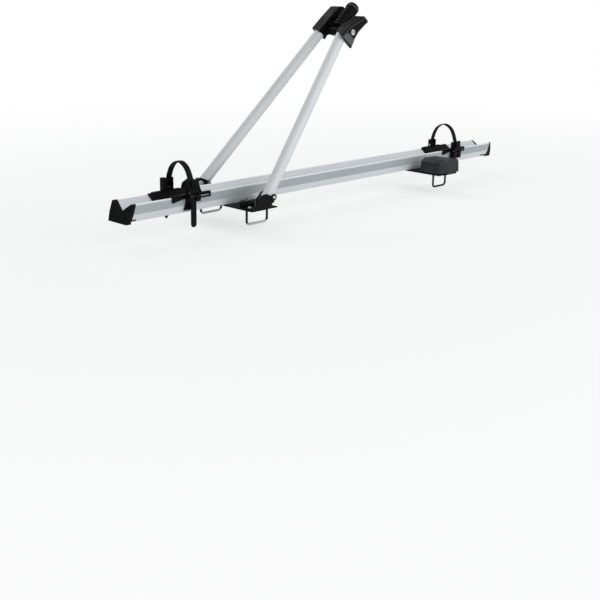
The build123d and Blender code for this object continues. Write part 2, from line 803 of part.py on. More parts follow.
def jaw(name, side, shares, start, skew, edge_round_off):
    """One jaw: a rounded prism with a socket for its arm, a spindle bore and two stud bores."""
    low_y = -jaw_inner_y if side < 0 else jaw_outer_y
    outer = -jaw_outer_y if side < 0 else jaw_outer_y
    inward = -1 if side < 0 else 1
    with BuildPart() as claw:
        with BuildSketch(head_plane(low_y)) as claw_face:
            with BuildLine():
                Polyline(*scaled(shares, jaw_span), close=True)
            make_face()
            fillet(claw_face.vertices(), radius=jaw_round)
        extrude(amount=jaw_wide)
        outer_rim = claw.faces().filter_by(Axis.Y).sort_by(Axis.Y)[0 if side < 0 else -1].edges()
        chamfer(outer_rim, length=edge_round_off)
        with BuildSketch(head_plane(low_y)):
            with Locations((spindle_s, spindle_m)):
                Circle(spindle_boss_d / 2)
        extrude(amount=jaw_wide)
        split(
            bisect_by=Plane(
                origin=(
                    head_x + start * math.cos(rise), side * (jaw_inner_y + jaw_wide / 2),
                    head_z + start * math.sin(rise),
                ),
                z_dir=(jaw_wide * math.cos(rise), side * skew, jaw_wide * math.sin(rise)),
            ),
            keep=Keep.TOP,
        )
        with BuildSketch(arm_plane(side)):
            Circle(tube_d / 2 + run_gap)
        extrude(amount=arm_long + run_gap, mode=Mode.SUBTRACT)
        with BuildSketch(head_plane(low_y)):
            with Locations((spindle_s, spindle_m)):
                Circle(spindle_d / 2 + run_gap)
        extrude(amount=jaw_wide, mode=Mode.SUBTRACT)
        with BuildSketch(head_plane(outer)):
            with Locations((spindle_s, spindle_m)):
                Circle(barrel_nut_d / 2 + barrel_recess_gap)
        extrude(amount=inward * barrel_recess_deep, mode=Mode.SUBTRACT)
        with BuildSketch(head_plane(side * jaw_inner_y)):
            with Locations(*scaled(pad_stud_shares, jaw_span)):
                Circle(pad_stud_d / 2 + run_gap)
        extrude(amount=-inward * (pad_stud_long + face_gap), mode=Mode.SUBTRACT)
    save(claw.part, name)


jaw("jaw_near", -1, near_jaw_shares, near_jaw_start, near_jaw_skew, near_jaw_edge_round)
jaw("jaw_far", 1, far_jaw_shares, far_jaw_start, far_jaw_skew, far_jaw_edge_round)

nut_seat_y = jaw_outer_y - barrel_recess_deep
with BuildPart() as head_spindle:
    with BuildSketch(head_plane(nut_seat_y)):
        with Locations((spindle_s, spindle_m)):
            Circle(spindle_d / 2)
    extrude(amount=2 * nut_seat_y)
save(head_spindle.part, "head_spindle")

with BuildPart() as barrel_nuts:
    for side in (-1, 1):
        with BuildSketch(head_plane(side * nut_seat_y)):
            with Locations((spindle_s, spindle_m)):
                Circle(barrel_nut_d / 2)
        extrude(amount=-side * barrel_nut_thick)
    rims = barrel_nuts.faces().filter_by(Axis.Y).sort_by(Axis.Y)
    fillet(rims[0].edges() + rims[-1].edges(), radius=edge_round)
    for side in (-1, 1):
        with BuildSketch(head_plane(side * (nut_seat_y + barrel_nut_thick))):
            with Locations((spindle_s, spindle_m)):
                RegularPolygon(barrel_key_across / 2, 6, major_radius=False)
        extrude(amount=side * barrel_key_deep, mode=Mode.SUBTRACT)
save(barrel_nuts.part, "barrel_nuts")

with BuildPart() as spindle_spacers:
    for side in (-1, 1):
        with BuildSketch(head_plane(side * jaw_inner_y)):
            with Locations((spindle_s, spindle_m)):
                Circle(spacer_d / 2)
                Circle(spindle_d / 2 + run_gap, mode=Mode.SUBTRACT)
        extrude(amount=side * (jaw_inner_y - hub_wide / 2 - face_gap))
save(spindle_spacers.part, "spindle_spacers")


# Clamp pads: a plate on two studs that slide in the jaw, with a rubber face
for side, tag in ((-1, "near"), (1, "far")):
    plate_y = jaw_inner_y - face_gap
    rubber_y = plate_y - pad_plate_thick
    with BuildPart() as clamp_pad:
        with BuildSketch(head_plane(side * plate_y)) as pad_face:
            with BuildLine():
                Polyline(*scaled(pad_shares, jaw_span), close=True)
            make_face()
            fillet(pad_face.vertices(), radius=pad_round)
        extrude(amount=side * pad_plate_thick)
        with BuildSketch(head_plane(side * plate_y)):
            with Locations(*scaled(pad_stud_shares, jaw_span)):
                Circle(pad_stud_d / 2)
        extrude(amount=-side * (pad_stud_long - face_gap))
    save(clamp_pad.part, f"clamp_pad_{tag}")
    with BuildPart() as pad_rubber:
        with BuildSketch(head_plane(side * rubber_y)) as rubber_face:
            with BuildLine():
                Polyline(*scaled(pad_shares, jaw_span), close=True)
            make_face()
            fillet(rubber_face.vertices(), radius=pad_round)
        extrude(amount=side * pad_rubber_thick)
    save(pad_rubber.part, f"pad_rubber_{tag}")


# Clamp handle: a hub on the spindle and a turned grip with a domed end
handle_rise = math.radians(handle_rise_deg)
handle_along = (math.cos(handle_rise), 0, math.sin(handle_rise))
handle_plane = Plane(origin=(spindle_x, 0, spindle_z), x_dir=handle_along, z_dir=(0, -1, 0))
handle_axis = Axis((spindle_x, 0, spindle_z), handle_along)
rib_pitch = grip_long / grip_ribs
grip_points = [(0, 0), (0, grip_neck_d / 2), (grip_start, grip_neck_d / 2)]
for i in range(grip_ribs):
    rib_start = grip_start + i * rib_pitch
    grip_points += [
        (rib_start, grip_d / 2 - grip_groove_deep), (rib_start + grip_slope, grip_d / 2),
        (rib_start + rib_pitch - 2 * grip_slope, grip_d / 2),
        (rib_start + rib_pitch - grip_slope, grip_d / 2 - grip_groove_deep),
    ]
knob_start = grip_start + grip_long
band_start = knob_start + handle_knob_lead
crown_start = handle_end - handle_knob_d / 4
grip_points += [
    (knob_start, grip_d / 2 - grip_groove_deep), (knob_start + grip_slope, handle_knob_d / 2),
    (band_start, handle_knob_d / 2), (band_start, handle_knob_d / 2 - band_deep),
    (band_start + band_wide, handle_knob_d / 2 - band_deep), (band_start + band_wide, handle_knob_d / 2),
    (crown_start, handle_knob_d / 2),
]
dome_r = handle_knob_d / 2 - handle_crown_d / 2
dome_mid = (
    crown_start + (handle_end - crown_start) * math.sin(math.pi / 4),
    handle_crown_d / 2 + dome_r * math.cos(math.pi / 4),
)
with BuildPart() as clamp_handle:
    with BuildSketch(handle_plane):
        with BuildLine():
            Polyline(*grip_points)
            ThreePointArc(grip_points[-1], dome_mid, (handle_end, handle_crown_d / 2))
            Polyline((handle_end, handle_crown_d / 2), (handle_end, 0), (0, 0))
        make_face()
    revolve(axis=handle_axis)
    with BuildSketch(head_plane(hub_wide / 2)):
        with Locations((spindle_s, spindle_m)):
            Circle(hub_d / 2)
    extrude(amount=hub_wide)
    with BuildSketch(head_plane(hub_wide)):
        with Locations((spindle_s, spindle_m)):
            Circle(spindle_d / 2 + run_gap)
    extrude(amount=2 * hub_wide, mode=Mode.SUBTRACT)
save(clamp_handle.part, "clamp_handle")

with BuildPart() as handle_band:
    with BuildSketch(handle_plane):
        with Locations((band_start + run_gap, handle_knob_d / 2 - band_deep + run_gap)):
            Rectangle(band_wide - 2 * run_gap, band_deep, align=(Align.MIN, Align.MIN))
    revolve(axis=handle_axis)
save(handle_band.part, "handle_band")


# Cover of the rear bracket: an angular shell that swings out on a pin
def cover_outline(shares, inset):
    """Plan outline of the cover, moved in by an inset."""
    with BuildSketch() as outline:
        with BuildLine():
            Polyline(
                *[(rear_bracket_x + a, cover_near_y + b) for a, b in scaled(shares, cover_span)], close=True,
            )
        make_face()
        if inset:
            offset(amount=-inset, kind=Kind.INTERSECTION, mode=Mode.REPLACE)
    return outline.sketch


shoulder_z = cover_top - cover_shoulder
cover_knuckle_wide = hinge_long - 2 * hinge_knuckle_wide - 2 * face_gap
with BuildPart() as rear_cover:
    loft([
        Plane.XY.offset(cover_low) * cover_outline(cover_foot_shares, 0),
        Plane.XY.offset(shoulder_z) * cover_outline(cover_shoulder_shares, 0),
        Plane.XY.offset(cover_top) * cover_outline(cover_top_shares, 0),
    ], ruled=True)
    loft([
        Plane.XY.offset(cover_low) * cover_outline(cover_foot_shares, cover_wall),
        Plane.XY.offset(shoulder_z - cover_wall) * cover_outline(cover_shoulder_shares, cover_wall),
        Plane.XY.offset(cover_top - cover_wall) * cover_outline(cover_top_shares, cover_wall),
    ], ruled=True, mode=Mode.SUBTRACT)
    with BuildSketch(Plane.YZ.offset(rear_bracket_x - cover_knuckle_wide / 2)):
        with Locations((hinge_y, hinge_z)):
            Circle(hinge_knuckle_d / 2)
            Rectangle(cover_wall, hinge_lug_rise, align=(Align.CENTER, Align.MIN))
            Circle(hinge_d / 2 + run_gap, mode=Mode.SUBTRACT)
    extrude(amount=cover_knuckle_wide)
save(rear_cover.part, "rear_cover")

with BuildPart() as rear_cover_pin:
    with BuildSketch(Plane.YZ.offset(rear_bracket_x - hinge_long / 2)):
        with Locations((hinge_y, hinge_z)):
            Circle(hinge_d / 2)
    extrude(amount=hinge_long)
save(rear_cover_pin.part, "rear_cover_pin")


# Wheel trays: a V liner over the trough, with flanges over both lips of the rail
def wheel_tray(name, middle_x, tab_aft, block_fore, block_top, sink, with_tip):
    """One moulded tray, centred on its strap."""
    lip_top = rail_top + tray_gap
    inner_half = half_wide - lip_wide
    drop = trough_floor + rail_base
    with BuildPart() as tray:
        with BuildSketch(Plane.YZ.offset(middle_x - tray_fore)):
            with BuildLine():
                Polyline(
                    (-inner_half, lip_top), (0, drop + tray_gap), (inner_half, lip_top),
                    (inner_half, lip_top + tray_wall), (0, drop + tray_gap + tray_wall + tray_wall / 2),
                    (-inner_half, lip_top + tray_wall), close=True,
                )
            make_face()
        extrude(amount=tray_fore + liner_aft)
        with BuildSketch(Plane.XY.offset(lip_top)):
            for side in (-1, 1):
                with Locations((middle_x - tray_lip_fore, side * (inner_half - tray_wall))):
                    Rectangle(
                        tray_lip_fore + tray_aft, buckle_y - inner_half + tray_wall,
                        align=(Align.MIN, Align.MIN if side > 0 else Align.MAX),
                    )
            with Locations((middle_x, -inner_half)):
                Rectangle(tab_aft, buckle_y - inner_half, align=(Align.MIN, Align.MAX))
        extrude(amount=tray_wall)
        for side in (-1, 1):
            aft = tab_aft if side < 0 else tray_aft
            top = lip_top + tray_wall
            with BuildSketch(Plane.XZ.offset(-side * flange_y)):
                with BuildLine():
                    Polyline(
                        (middle_x - tray_lip_fore, top),
                        (middle_x - tray_lip_fore, rail_top - flange_end_drop),
                        (middle_x - tray_lip_fore + flange_drop, rail_top - flange_end_drop),
                        (middle_x - skirt_fore + flange_waist, rail_top - flange_drop),
                        (middle_x - skirt_fore + skirt_slope, rail_top - flange_drop),
                        (middle_x - skirt_fore, rail_top - skirt_drop),
                        (middle_x - skirt_fore + skirt_wide, rail_top - skirt_drop),
                        (middle_x - skirt_fore + skirt_wide + skirt_slope, rail_top - tab_drop),
                        (middle_x + aft, rail_top - tab_drop), (middle_x + aft, top), close=True,
                    )
                make_face()
                if side < 0:
                    with Locations((middle_x + tray_aft + tab_bar, rail_top - tab_drop + tab_bar)):
                        Rectangle(
                            tab_aft - tray_aft - 2 * tab_bar, tab_drop - 2 * tab_bar, align=Align.MIN,
                            mode=Mode.SUBTRACT,
                        )
                if side > 0 and with_tip:
                    with BuildLine():
                        Polyline(
                            (middle_x - tip_fore, rail_top - flange_drop),
                            (middle_x - tip_fore, rail_top - tip_drop + tip_point),
                            (middle_x - tip_fore + tip_wide / 2, rail_top - tip_drop),
                            (middle_x - tip_fore + tip_wide, rail_top - tip_drop + tip_point),
                            (middle_x - tip_fore + tip_wide, rail_top - flange_drop), close=True,
                        )
                    make_face()
            extrude(amount=-side * tray_wall)
        with BuildSketch(Plane.XZ.offset(-flange_y)):
            with Locations((middle_x - block_fore, far_block_low)):
                Rectangle(block_fore + far_block_aft, block_top - far_block_low, align=Align.MIN)
            with Locations((middle_x, strap_slot_z)):
                Rectangle(
                    strap_wide + 2 * face_gap, block_top - strap_slot_z, align=(Align.CENTER, Align.MIN),
                    mode=Mode.SUBTRACT,
                )
        extrude(amount=-(tray_wall + far_block_thick))
        with BuildSketch(Plane.YZ.offset(middle_x - far_block_aft)):
            with Locations((anchor_y, anchor_pin_z)):
                Circle(anchor_pin_d / 2 + run_gap)
        extrude(amount=2 * far_block_aft, mode=Mode.SUBTRACT)
        with BuildSketch(Plane.XZ.offset(flange_y - tray_wall)):
            with Locations((middle_x, tray_screw_z - sink)):
                Circle(tray_screw_d / 2 + run_gap)
        extrude(amount=2 * tray_wall, mode=Mode.SUBTRACT)
    save(tray.part, name)


def buckle(name, middle_x, sink):
    """Body of a buckle, set lower by its sink: a back block, two cheeks and a bridge before the strap."""
    with BuildPart() as body:
        with BuildSketch(Plane.XZ.offset(buckle_y)):
            with Locations((middle_x, buckle_low)):
                Rectangle(buckle_wide, back_top - buckle_low, align=(Align.CENTER, Align.MIN))
        extrude(amount=buckle_back)
        for side in (-1, 1):
            with BuildSketch(Plane.YZ.offset(middle_x + side * buckle_wide / 2)):
                with BuildLine():
                    Polyline(
                        (-buckle_y, buckle_low), (-buckle_y - buckle_deep, buckle_low),
                        (-buckle_y - buckle_deep, cheek_shoulder_z), (-buckle_y - buckle_back, buckle_top),
                        (-buckle_y, buckle_top), close=True,
                    )
                make_face()
                with Locations((-lever_y, lever_pin_z)):
                    Circle(lever_pin_d / 2 + run_gap, mode=Mode.SUBTRACT)
            extrude(amount=-side * cheek_thick)
        with BuildSketch(Plane.XZ.offset(buckle_y + buckle_back + strap_room)):
            with Locations((middle_x, buckle_low)):
                Rectangle(buckle_wide, bridge_top - buckle_low, align=(Align.CENTER, Align.MIN))
        extrude(amount=buckle_deep - buckle_back - strap_room)
        with BuildSketch(Plane.XZ.offset(buckle_y)):
            with Locations((middle_x, tray_screw_z)):
                Circle(tray_screw_d / 2 + run_gap)
        extrude(amount=buckle_back, mode=Mode.SUBTRACT)
        with BuildSketch(Plane.XZ.offset(buckle_y + buckle_back - tray_screw_head_high - face_gap)):
            with Locations((middle_x, tray_screw_z)):
                Circle(tray_screw_head_d / 2 + run_gap)
        extrude(amount=buckle_deep, mode=Mode.SUBTRACT)
    save(body.part.moved(Location((0, 0, -sink))), name)


def buckle_lever(name, middle_x, sink):
    """Lever of a buckle, turning on its pin between the cheeks."""
    lever_wide = buckle_wide - 2 * cheek_thick - 2 * face_gap
    with BuildPart() as lever:
        with BuildSketch(Plane.YZ.offset(middle_x - lever_wide / 2)):
            with Locations((-lever_y, lever_pin_z)):
                Circle(lever_thick / 2 + face_gap)
            with BuildLine():
                Polyline(
                    (-lever_y + lever_thick / 2, lever_pin_z), (-lever_y + lever_thick / 2, lever_bend_z),
                    (-lever_y + lever_thick - lever_lip, lever_top), (-lever_y - lever_lip, lever_top),
                    (-lever_y - lever_thick / 2, lever_bend_z), (-lever_y - lever_thick / 2, lever_pin_z),
                    close=True,
                )
            make_face()
            with Locations((-lever_y, lever_pin_z)):
                Circle(lever_pin_d / 2 + run_gap, mode=Mode.SUBTRACT)
        extrude(amount=lever_wide)
    save(lever.part.moved(Location((0, 0, -sink))), name)


def cross_pin(name, middle_x, y, z, diameter, length):
    """A round pin along X."""
    with BuildPart() as pin:
        with BuildSketch(Plane.YZ.offset(middle_x - length / 2)):
            with Locations((y, z)):
                Circle(diameter / 2)
        extrude(amount=length)
        chamfer(pin.faces().filter_by(Axis.X).edges(), length=edge_round / 2)
    save(pin.part, name)


def tray_screw(name, middle_x, sink):
    """The pan head screw that holds a buckle to its tray."""
    seat = buckle_y + buckle_back - tray_screw_head_high - face_gap
    with BuildPart() as screw:
        with BuildSketch(Plane.XZ.offset(flange_y + face_gap)):
            with Locations((middle_x, tray_screw_z)):
                Circle(tray_screw_d / 2)
        extrude(amount=seat - flange_y - face_gap)
        with BuildSketch(Plane.XZ.offset(seat)):
            with Locations((middle_x, tray_screw_z)):
                Circle(tray_screw_head_d / 2)
        extrude(amount=tray_screw_head_high)
    save(screw.part.moved(Location((0, 0, -sink))), name)


def wheel_strap(name, middle_x, top_z, tail_z, sink):
    """A flat strap from its far anchor pin, over the wheel and down through the buckle."""
    with BuildPart() as strap:
        with BuildSketch(Plane.YZ.offset(middle_x - strap_wide / 2)):
            with BuildLine() as middle:
                Line((anchor_y, anchor_strap_z), (strap_half, strap_bend_z))
                ThreePointArc((strap_half, strap_bend_z), (0, top_z), (-strap_half, strap_bend_z))
                Line((-strap_half, strap_bend_z), (-strap_y, strap_bend_z - strap_jog - sink))
                Line((-strap_y, strap_bend_z - strap_jog - sink), (-strap_y, tail_z))
            trace(line_width=strap_thick)
        extrude(amount=strap_wide)
        with BuildSketch(Plane.YZ.offset(middle_x - strap_wide / 2)):
            with Locations((anchor_y, anchor_pin_z)):
                Circle(anchor_pin_d / 2 + strap_thick)
                Circle(anchor_pin_d / 2 + run_gap, mode=Mode.SUBTRACT)
        extrude(amount=strap_wide)
    save(strap.part, name)


for tag, x, aft, block_fore, block_top, sink, strap_top, tail in (
    (
        "front", front_tray_x, front_tab_aft, front_block_fore, front_block_top, 0, front_strap_top,
        front_tail_z,
    ),
    (
        "rear", rear_tray_x, rear_tab_aft, rear_block_fore, rear_block_top, rear_buckle_sink, rear_strap_top,
        rear_tail_z,
    ),
):
    wheel_tray(f"{tag}_wheel_tray", x, aft, block_fore, block_top, sink, tag == "front")
    buckle(f"{tag}_buckle", x, sink)
    buckle_lever(f"{tag}_buckle_lever", x, sink)
    cross_pin(f"{tag}_lever_pin", x, -lever_y, lever_pin_z - sink, lever_pin_d, buckle_wide)
    cross_pin(f"{tag}_anchor_pin", x, anchor_y, anchor_pin_z, anchor_pin_d, 2 * far_block_aft)
    tray_screw(f"{tag}_tray_screw", x, sink)
    wheel_strap(f"{tag}_wheel_strap", x, strap_top, tail, sink)
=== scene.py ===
"""The looks of a roof mounted bike carrier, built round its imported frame.

Each sub-assembly is a class: its sizes are fields, in metres, and its methods build the
pieces that the frame doesn't hold and dress the ones that it does.
"""

import json
import logging
import math
from collections.abc import Callable, Iterable
from dataclasses import dataclass
from enum import Enum

import bpy
from mathutils import Euler, Matrix, Vector

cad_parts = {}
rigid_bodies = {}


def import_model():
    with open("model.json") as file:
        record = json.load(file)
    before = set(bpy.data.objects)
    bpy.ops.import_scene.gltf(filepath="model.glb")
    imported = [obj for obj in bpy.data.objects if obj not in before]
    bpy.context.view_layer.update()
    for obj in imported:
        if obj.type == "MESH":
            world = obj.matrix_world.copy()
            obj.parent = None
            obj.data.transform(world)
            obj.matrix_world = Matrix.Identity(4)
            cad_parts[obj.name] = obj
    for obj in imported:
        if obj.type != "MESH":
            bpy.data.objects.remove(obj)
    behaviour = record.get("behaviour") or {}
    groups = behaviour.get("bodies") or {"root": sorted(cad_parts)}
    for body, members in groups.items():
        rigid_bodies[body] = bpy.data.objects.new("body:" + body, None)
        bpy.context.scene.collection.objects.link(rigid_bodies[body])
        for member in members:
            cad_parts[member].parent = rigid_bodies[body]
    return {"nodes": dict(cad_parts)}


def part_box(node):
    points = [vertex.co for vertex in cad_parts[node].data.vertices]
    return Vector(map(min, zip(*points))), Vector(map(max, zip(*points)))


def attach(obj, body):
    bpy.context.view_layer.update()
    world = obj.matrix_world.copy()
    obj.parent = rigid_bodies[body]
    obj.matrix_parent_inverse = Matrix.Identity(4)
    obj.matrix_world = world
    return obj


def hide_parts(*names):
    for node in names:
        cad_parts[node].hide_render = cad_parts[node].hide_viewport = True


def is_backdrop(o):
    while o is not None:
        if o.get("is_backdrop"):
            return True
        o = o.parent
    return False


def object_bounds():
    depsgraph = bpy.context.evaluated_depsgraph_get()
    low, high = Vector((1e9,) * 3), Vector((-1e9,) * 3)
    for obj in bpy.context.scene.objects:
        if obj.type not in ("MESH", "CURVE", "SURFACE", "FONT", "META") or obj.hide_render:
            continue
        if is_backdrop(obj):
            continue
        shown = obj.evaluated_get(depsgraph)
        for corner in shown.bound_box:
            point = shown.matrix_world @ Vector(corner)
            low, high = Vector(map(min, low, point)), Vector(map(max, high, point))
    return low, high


LOG = logging.getLogger("bike_carrier")
MM = 0.001
SMOOTH_ANGLE = math.radians(32)
# The least cosine at which a face or an edge counts as one that looks or runs along an axis
FACING = 0.9
RING_SIDES = 40
DOME_SIDES = 28
DOME_ROUND = 0.8
FLOOR_GAP = 12.5 * MM
WHITE = (1.0, 1.0, 1.0, 1.0)

Rgb = tuple[float, float, float]
Rgba = tuple[float, float, float, float]
Place = tuple[float, float, float]
Shares = tuple[tuple[float, float], ...]
Test = Callable[[Vector, Vector], bool]


# Shared helpers

def mm(*sizes: float) -> tuple[float, ...]:
    """Millimetres as a tuple in metres."""
    return tuple(size * MM for size in sizes)


def linear(colour: Rgb) -> Rgba:
    """Turn a colour as it is seen into the shader's linear values.

    Args:
        colour: Red, green and blue from 0 to 1, as on a screen.

    Returns:
        The linear red, green and blue with a full alpha.
    """
    parts = [c / 12.92 if c <= 0.04045 else ((c + 0.055) / 1.055) ** 2.4 for c in colour]
    return (*parts, 1.0)


class Pick(Enum):
    """What a selection in edit mode holds."""

    FACES = "FACE"
    EDGES = "EDGE"


class Side(Enum):
    """A side of the carrier, as the sign of its Y."""

    NEAR = -1
    FAR = 1

    @property
    def tag(self) -> str:
        """The side's word in the pieces' names."""
        return self.name.lower()


class End(Enum):
    """An end of the carrier, as its word in the pieces' names."""

    FRONT = "front"
    REAR = "rear"


class Way(Enum):
    """Which way the drawn lines of a metal run."""

    ALONG_X = (1.0, 0.0, 0.0)
    ALONG_Y = (0.0, 1.0, 0.0)
    ALONG_Z = (0.0, 0.0, 1.0)
    ALONG_NEAR_ARM = (0.342, 0.0778, 0.3664)
    ALONG_FAR_ARM = (0.342, -0.0778, 0.3664)

    def turn(self) -> Euler:
        """The Euler turn from X to this way."""
        return Vector(self.value).to_track_quat("X", "Z").to_euler()


# Shader groups that more than one finish uses

class Effect(Enum):
    """The shared effects, as their groups' names."""

    PATCHES = "soft patches"
    LINES = "drawn lines"
    GRAIN = "moulded grain"


def open_group(
    name: str, inputs: Iterable[tuple], outputs: Iterable[tuple]
) -> tuple[bpy.types.NodeTree, bpy.types.Node, bpy.types.Node]:
    """Make an empty shader group with its sockets.

    Args:
        name: The group's name.
        inputs: Name, socket type and value of each input.
        outputs: Name and socket type of each output.

    Returns:
        The group's tree, its input node and its output node.
    """
    tree = bpy.data.node_groups.new(name, "ShaderNodeTree")
    for label, kind, value in inputs:
        socket = tree.interface.new_socket(label, in_out="INPUT", socket_type=kind)
        socket.default_value = value
    for label, kind in outputs:
        tree.interface.new_socket(label, in_out="OUTPUT", socket_type=kind)
    return tree, tree.nodes.new("NodeGroupInput"), tree.nodes.new("NodeGroupOutput")


def ranged(
    tree: bpy.types.NodeTree, source: bpy.types.NodeSocket, low: float, high: float
) -> bpy.types.Node:
    """Stretch a value so that low becomes 0 and high becomes 1.

    Args:
        tree: The tree that gets the node.
        source: The socket that is stretched.
        low: The value that becomes 0.
        high: The value that becomes 1.

    Returns:
        The Map Range node.
    """
    node = tree.nodes.new("ShaderNodeMapRange")
    node.inputs["From Min"].default_value = low
    node.inputs["From Max"].default_value = high
    tree.links.new(source, node.inputs["Value"])
    return node


def noise(
    tree: bpy.types.NodeTree, where: bpy.types.NodeSocket, scale: bpy.types.NodeSocket, detail: float
) -> bpy.types.Node:
    """Add a noise texture whose scale is a socket.

    Args:
        tree: The tree that gets the node.
        where: The coordinates that it reads.
        scale: The socket that gives its scale.
        detail: How many finer layers it has.

    Returns:
        The noise node.
    """
    node = tree.nodes.new("ShaderNodeTexNoise")
    node.inputs["Detail"].default_value = detail
    tree.links.new(where, node.inputs["Vector"])
    tree.links.new(scale, node.inputs["Scale"])
    return node


def direct_rays(tree: bpy.types.NodeTree) -> bpy.types.NodeSocket:
    """Make a mask of the rays that see a surface straight, in a reflection or through a clear one.

    Args:
        tree: The tree that gets the nodes.

    Returns:
        The socket that is 1 for those rays and 0 for the others.
    """
    rays = tree.nodes.new("ShaderNodeLightPath")
    seen = rays.outputs["Is Camera Ray"]
    for kind in ("Is Glossy Ray", "Is Transmission Ray"):
        either = tree.nodes.new("ShaderNodeMath")
        either.operation = "MAXIMUM"
        tree.links.new(seen, either.inputs[0])
        tree.links.new(rays.outputs[kind], either.inputs[1])
        seen = either.outputs["Value"]
    return seen


class GroupBook:
    """Builds each shared effect the first time that a finish asks for it."""

    coarse_share: float = 0.04

    def __init__(self) -> None:
        """Start with no groups."""
        self.made: dict[Effect, bpy.types.NodeTree] = {}

    def get(self, effect: Effect) -> bpy.types.NodeTree:
        """Give an effect's group, which is made if it isn't there yet.

        Args:
            effect: The effect.

        Returns:
            The group's tree.
        """
        if effect not in self.made:
            makers = {Effect.PATCHES: self.patches, Effect.LINES: self.lines, Effect.GRAIN: self.grain}
            self.made[effect] = makers[effect]()
        return self.made[effect]

    def patches(self) -> bpy.types.NodeTree:
        """Make soft patches of a second colour, as age and handling leave them.

        Returns:
            The group's tree.
        """
        tree, start, end = open_group(
            Effect.PATCHES.value,
            [("Vector", "NodeSocketVector", (0, 0, 0)), ("Scale", "NodeSocketFloat", 9.0),
             ("Colour", "NodeSocketColor", (1, 1, 1, 1)), ("Second", "NodeSocketColor", (0, 0, 0, 1)),
             ("Amount", "NodeSocketFloat", 0.5)],
            [("Colour", "NodeSocketColor")],
        )
        cloud = noise(tree, start.outputs["Vector"], start.outputs["Scale"], detail=4.0)
        mask = ranged(tree, cloud.outputs["Fac"], low=0.42, high=0.68)
        part = tree.nodes.new("ShaderNodeMath")
        part.operation = "MULTIPLY"
        tree.links.new(mask.outputs["Result"], part.inputs[0])
        tree.links.new(start.outputs["Amount"], part.inputs[1])
        mix = tree.nodes.new("ShaderNodeMixRGB")
        tree.links.new(part.outputs["Value"], mix.inputs["Fac"])
        tree.links.new(start.outputs["Colour"], mix.inputs["Color1"])
        tree.links.new(start.outputs["Second"], mix.inputs["Color2"])
        tree.links.new(mix.outputs["Color"], end.inputs["Colour"])
        return tree

    def lines(self) -> bpy.types.NodeTree:
        """Make fine lines left by drawing or brushing; the coordinates come in already stretched.

        Returns:
            The group's tree.
        """
        tree, start, end = open_group(
            Effect.LINES.value,
            [("Vector", "NodeSocketVector", (0, 0, 0)), ("Scale", "NodeSocketFloat", 260.0)],
            [("Lines", "NodeSocketFloat")],
        )
        cloud = noise(tree, start.outputs["Vector"], start.outputs["Scale"], detail=5.0)
        mask = ranged(tree, cloud.outputs["Fac"], low=0.3, high=0.7)
        tree.links.new(mask.outputs["Result"], end.inputs["Lines"])
        return tree

    def grain(self) -> bpy.types.NodeTree:
        """Make the fine pebble of moulded plastic, rubber or powder coat, with its uneven gloss.

        Returns:
            The group's tree.
        """
        tree, start, end = open_group(
            Effect.GRAIN.value,
            [("Vector", "NodeSocketVector", (0, 0, 0)), ("Scale", "NodeSocketFloat", 900.0)],
            [("Height", "NodeSocketFloat"), ("Gloss", "NodeSocketFloat")],
        )
        cells = tree.nodes.new("ShaderNodeTexVoronoi")
        tree.links.new(start.outputs["Vector"], cells.inputs["Vector"])
        tree.links.new(start.outputs["Scale"], cells.inputs["Scale"])
        tree.links.new(cells.outputs["Distance"], end.inputs["Height"])
        coarse = tree.nodes.new("ShaderNodeMath")
        coarse.operation = "MULTIPLY"
        coarse.inputs[1].default_value = self.coarse_share
        tree.links.new(start.outputs["Scale"], coarse.inputs[0])
        cloud = noise(tree, start.outputs["Vector"], coarse.outputs["Value"], detail=3.0)
        mask = ranged(tree, cloud.outputs["Fac"], low=0.3, high=0.7)
        tree.links.new(mask.outputs["Result"], end.inputs["Gloss"])
        return tree


GROUPS = GroupBook()


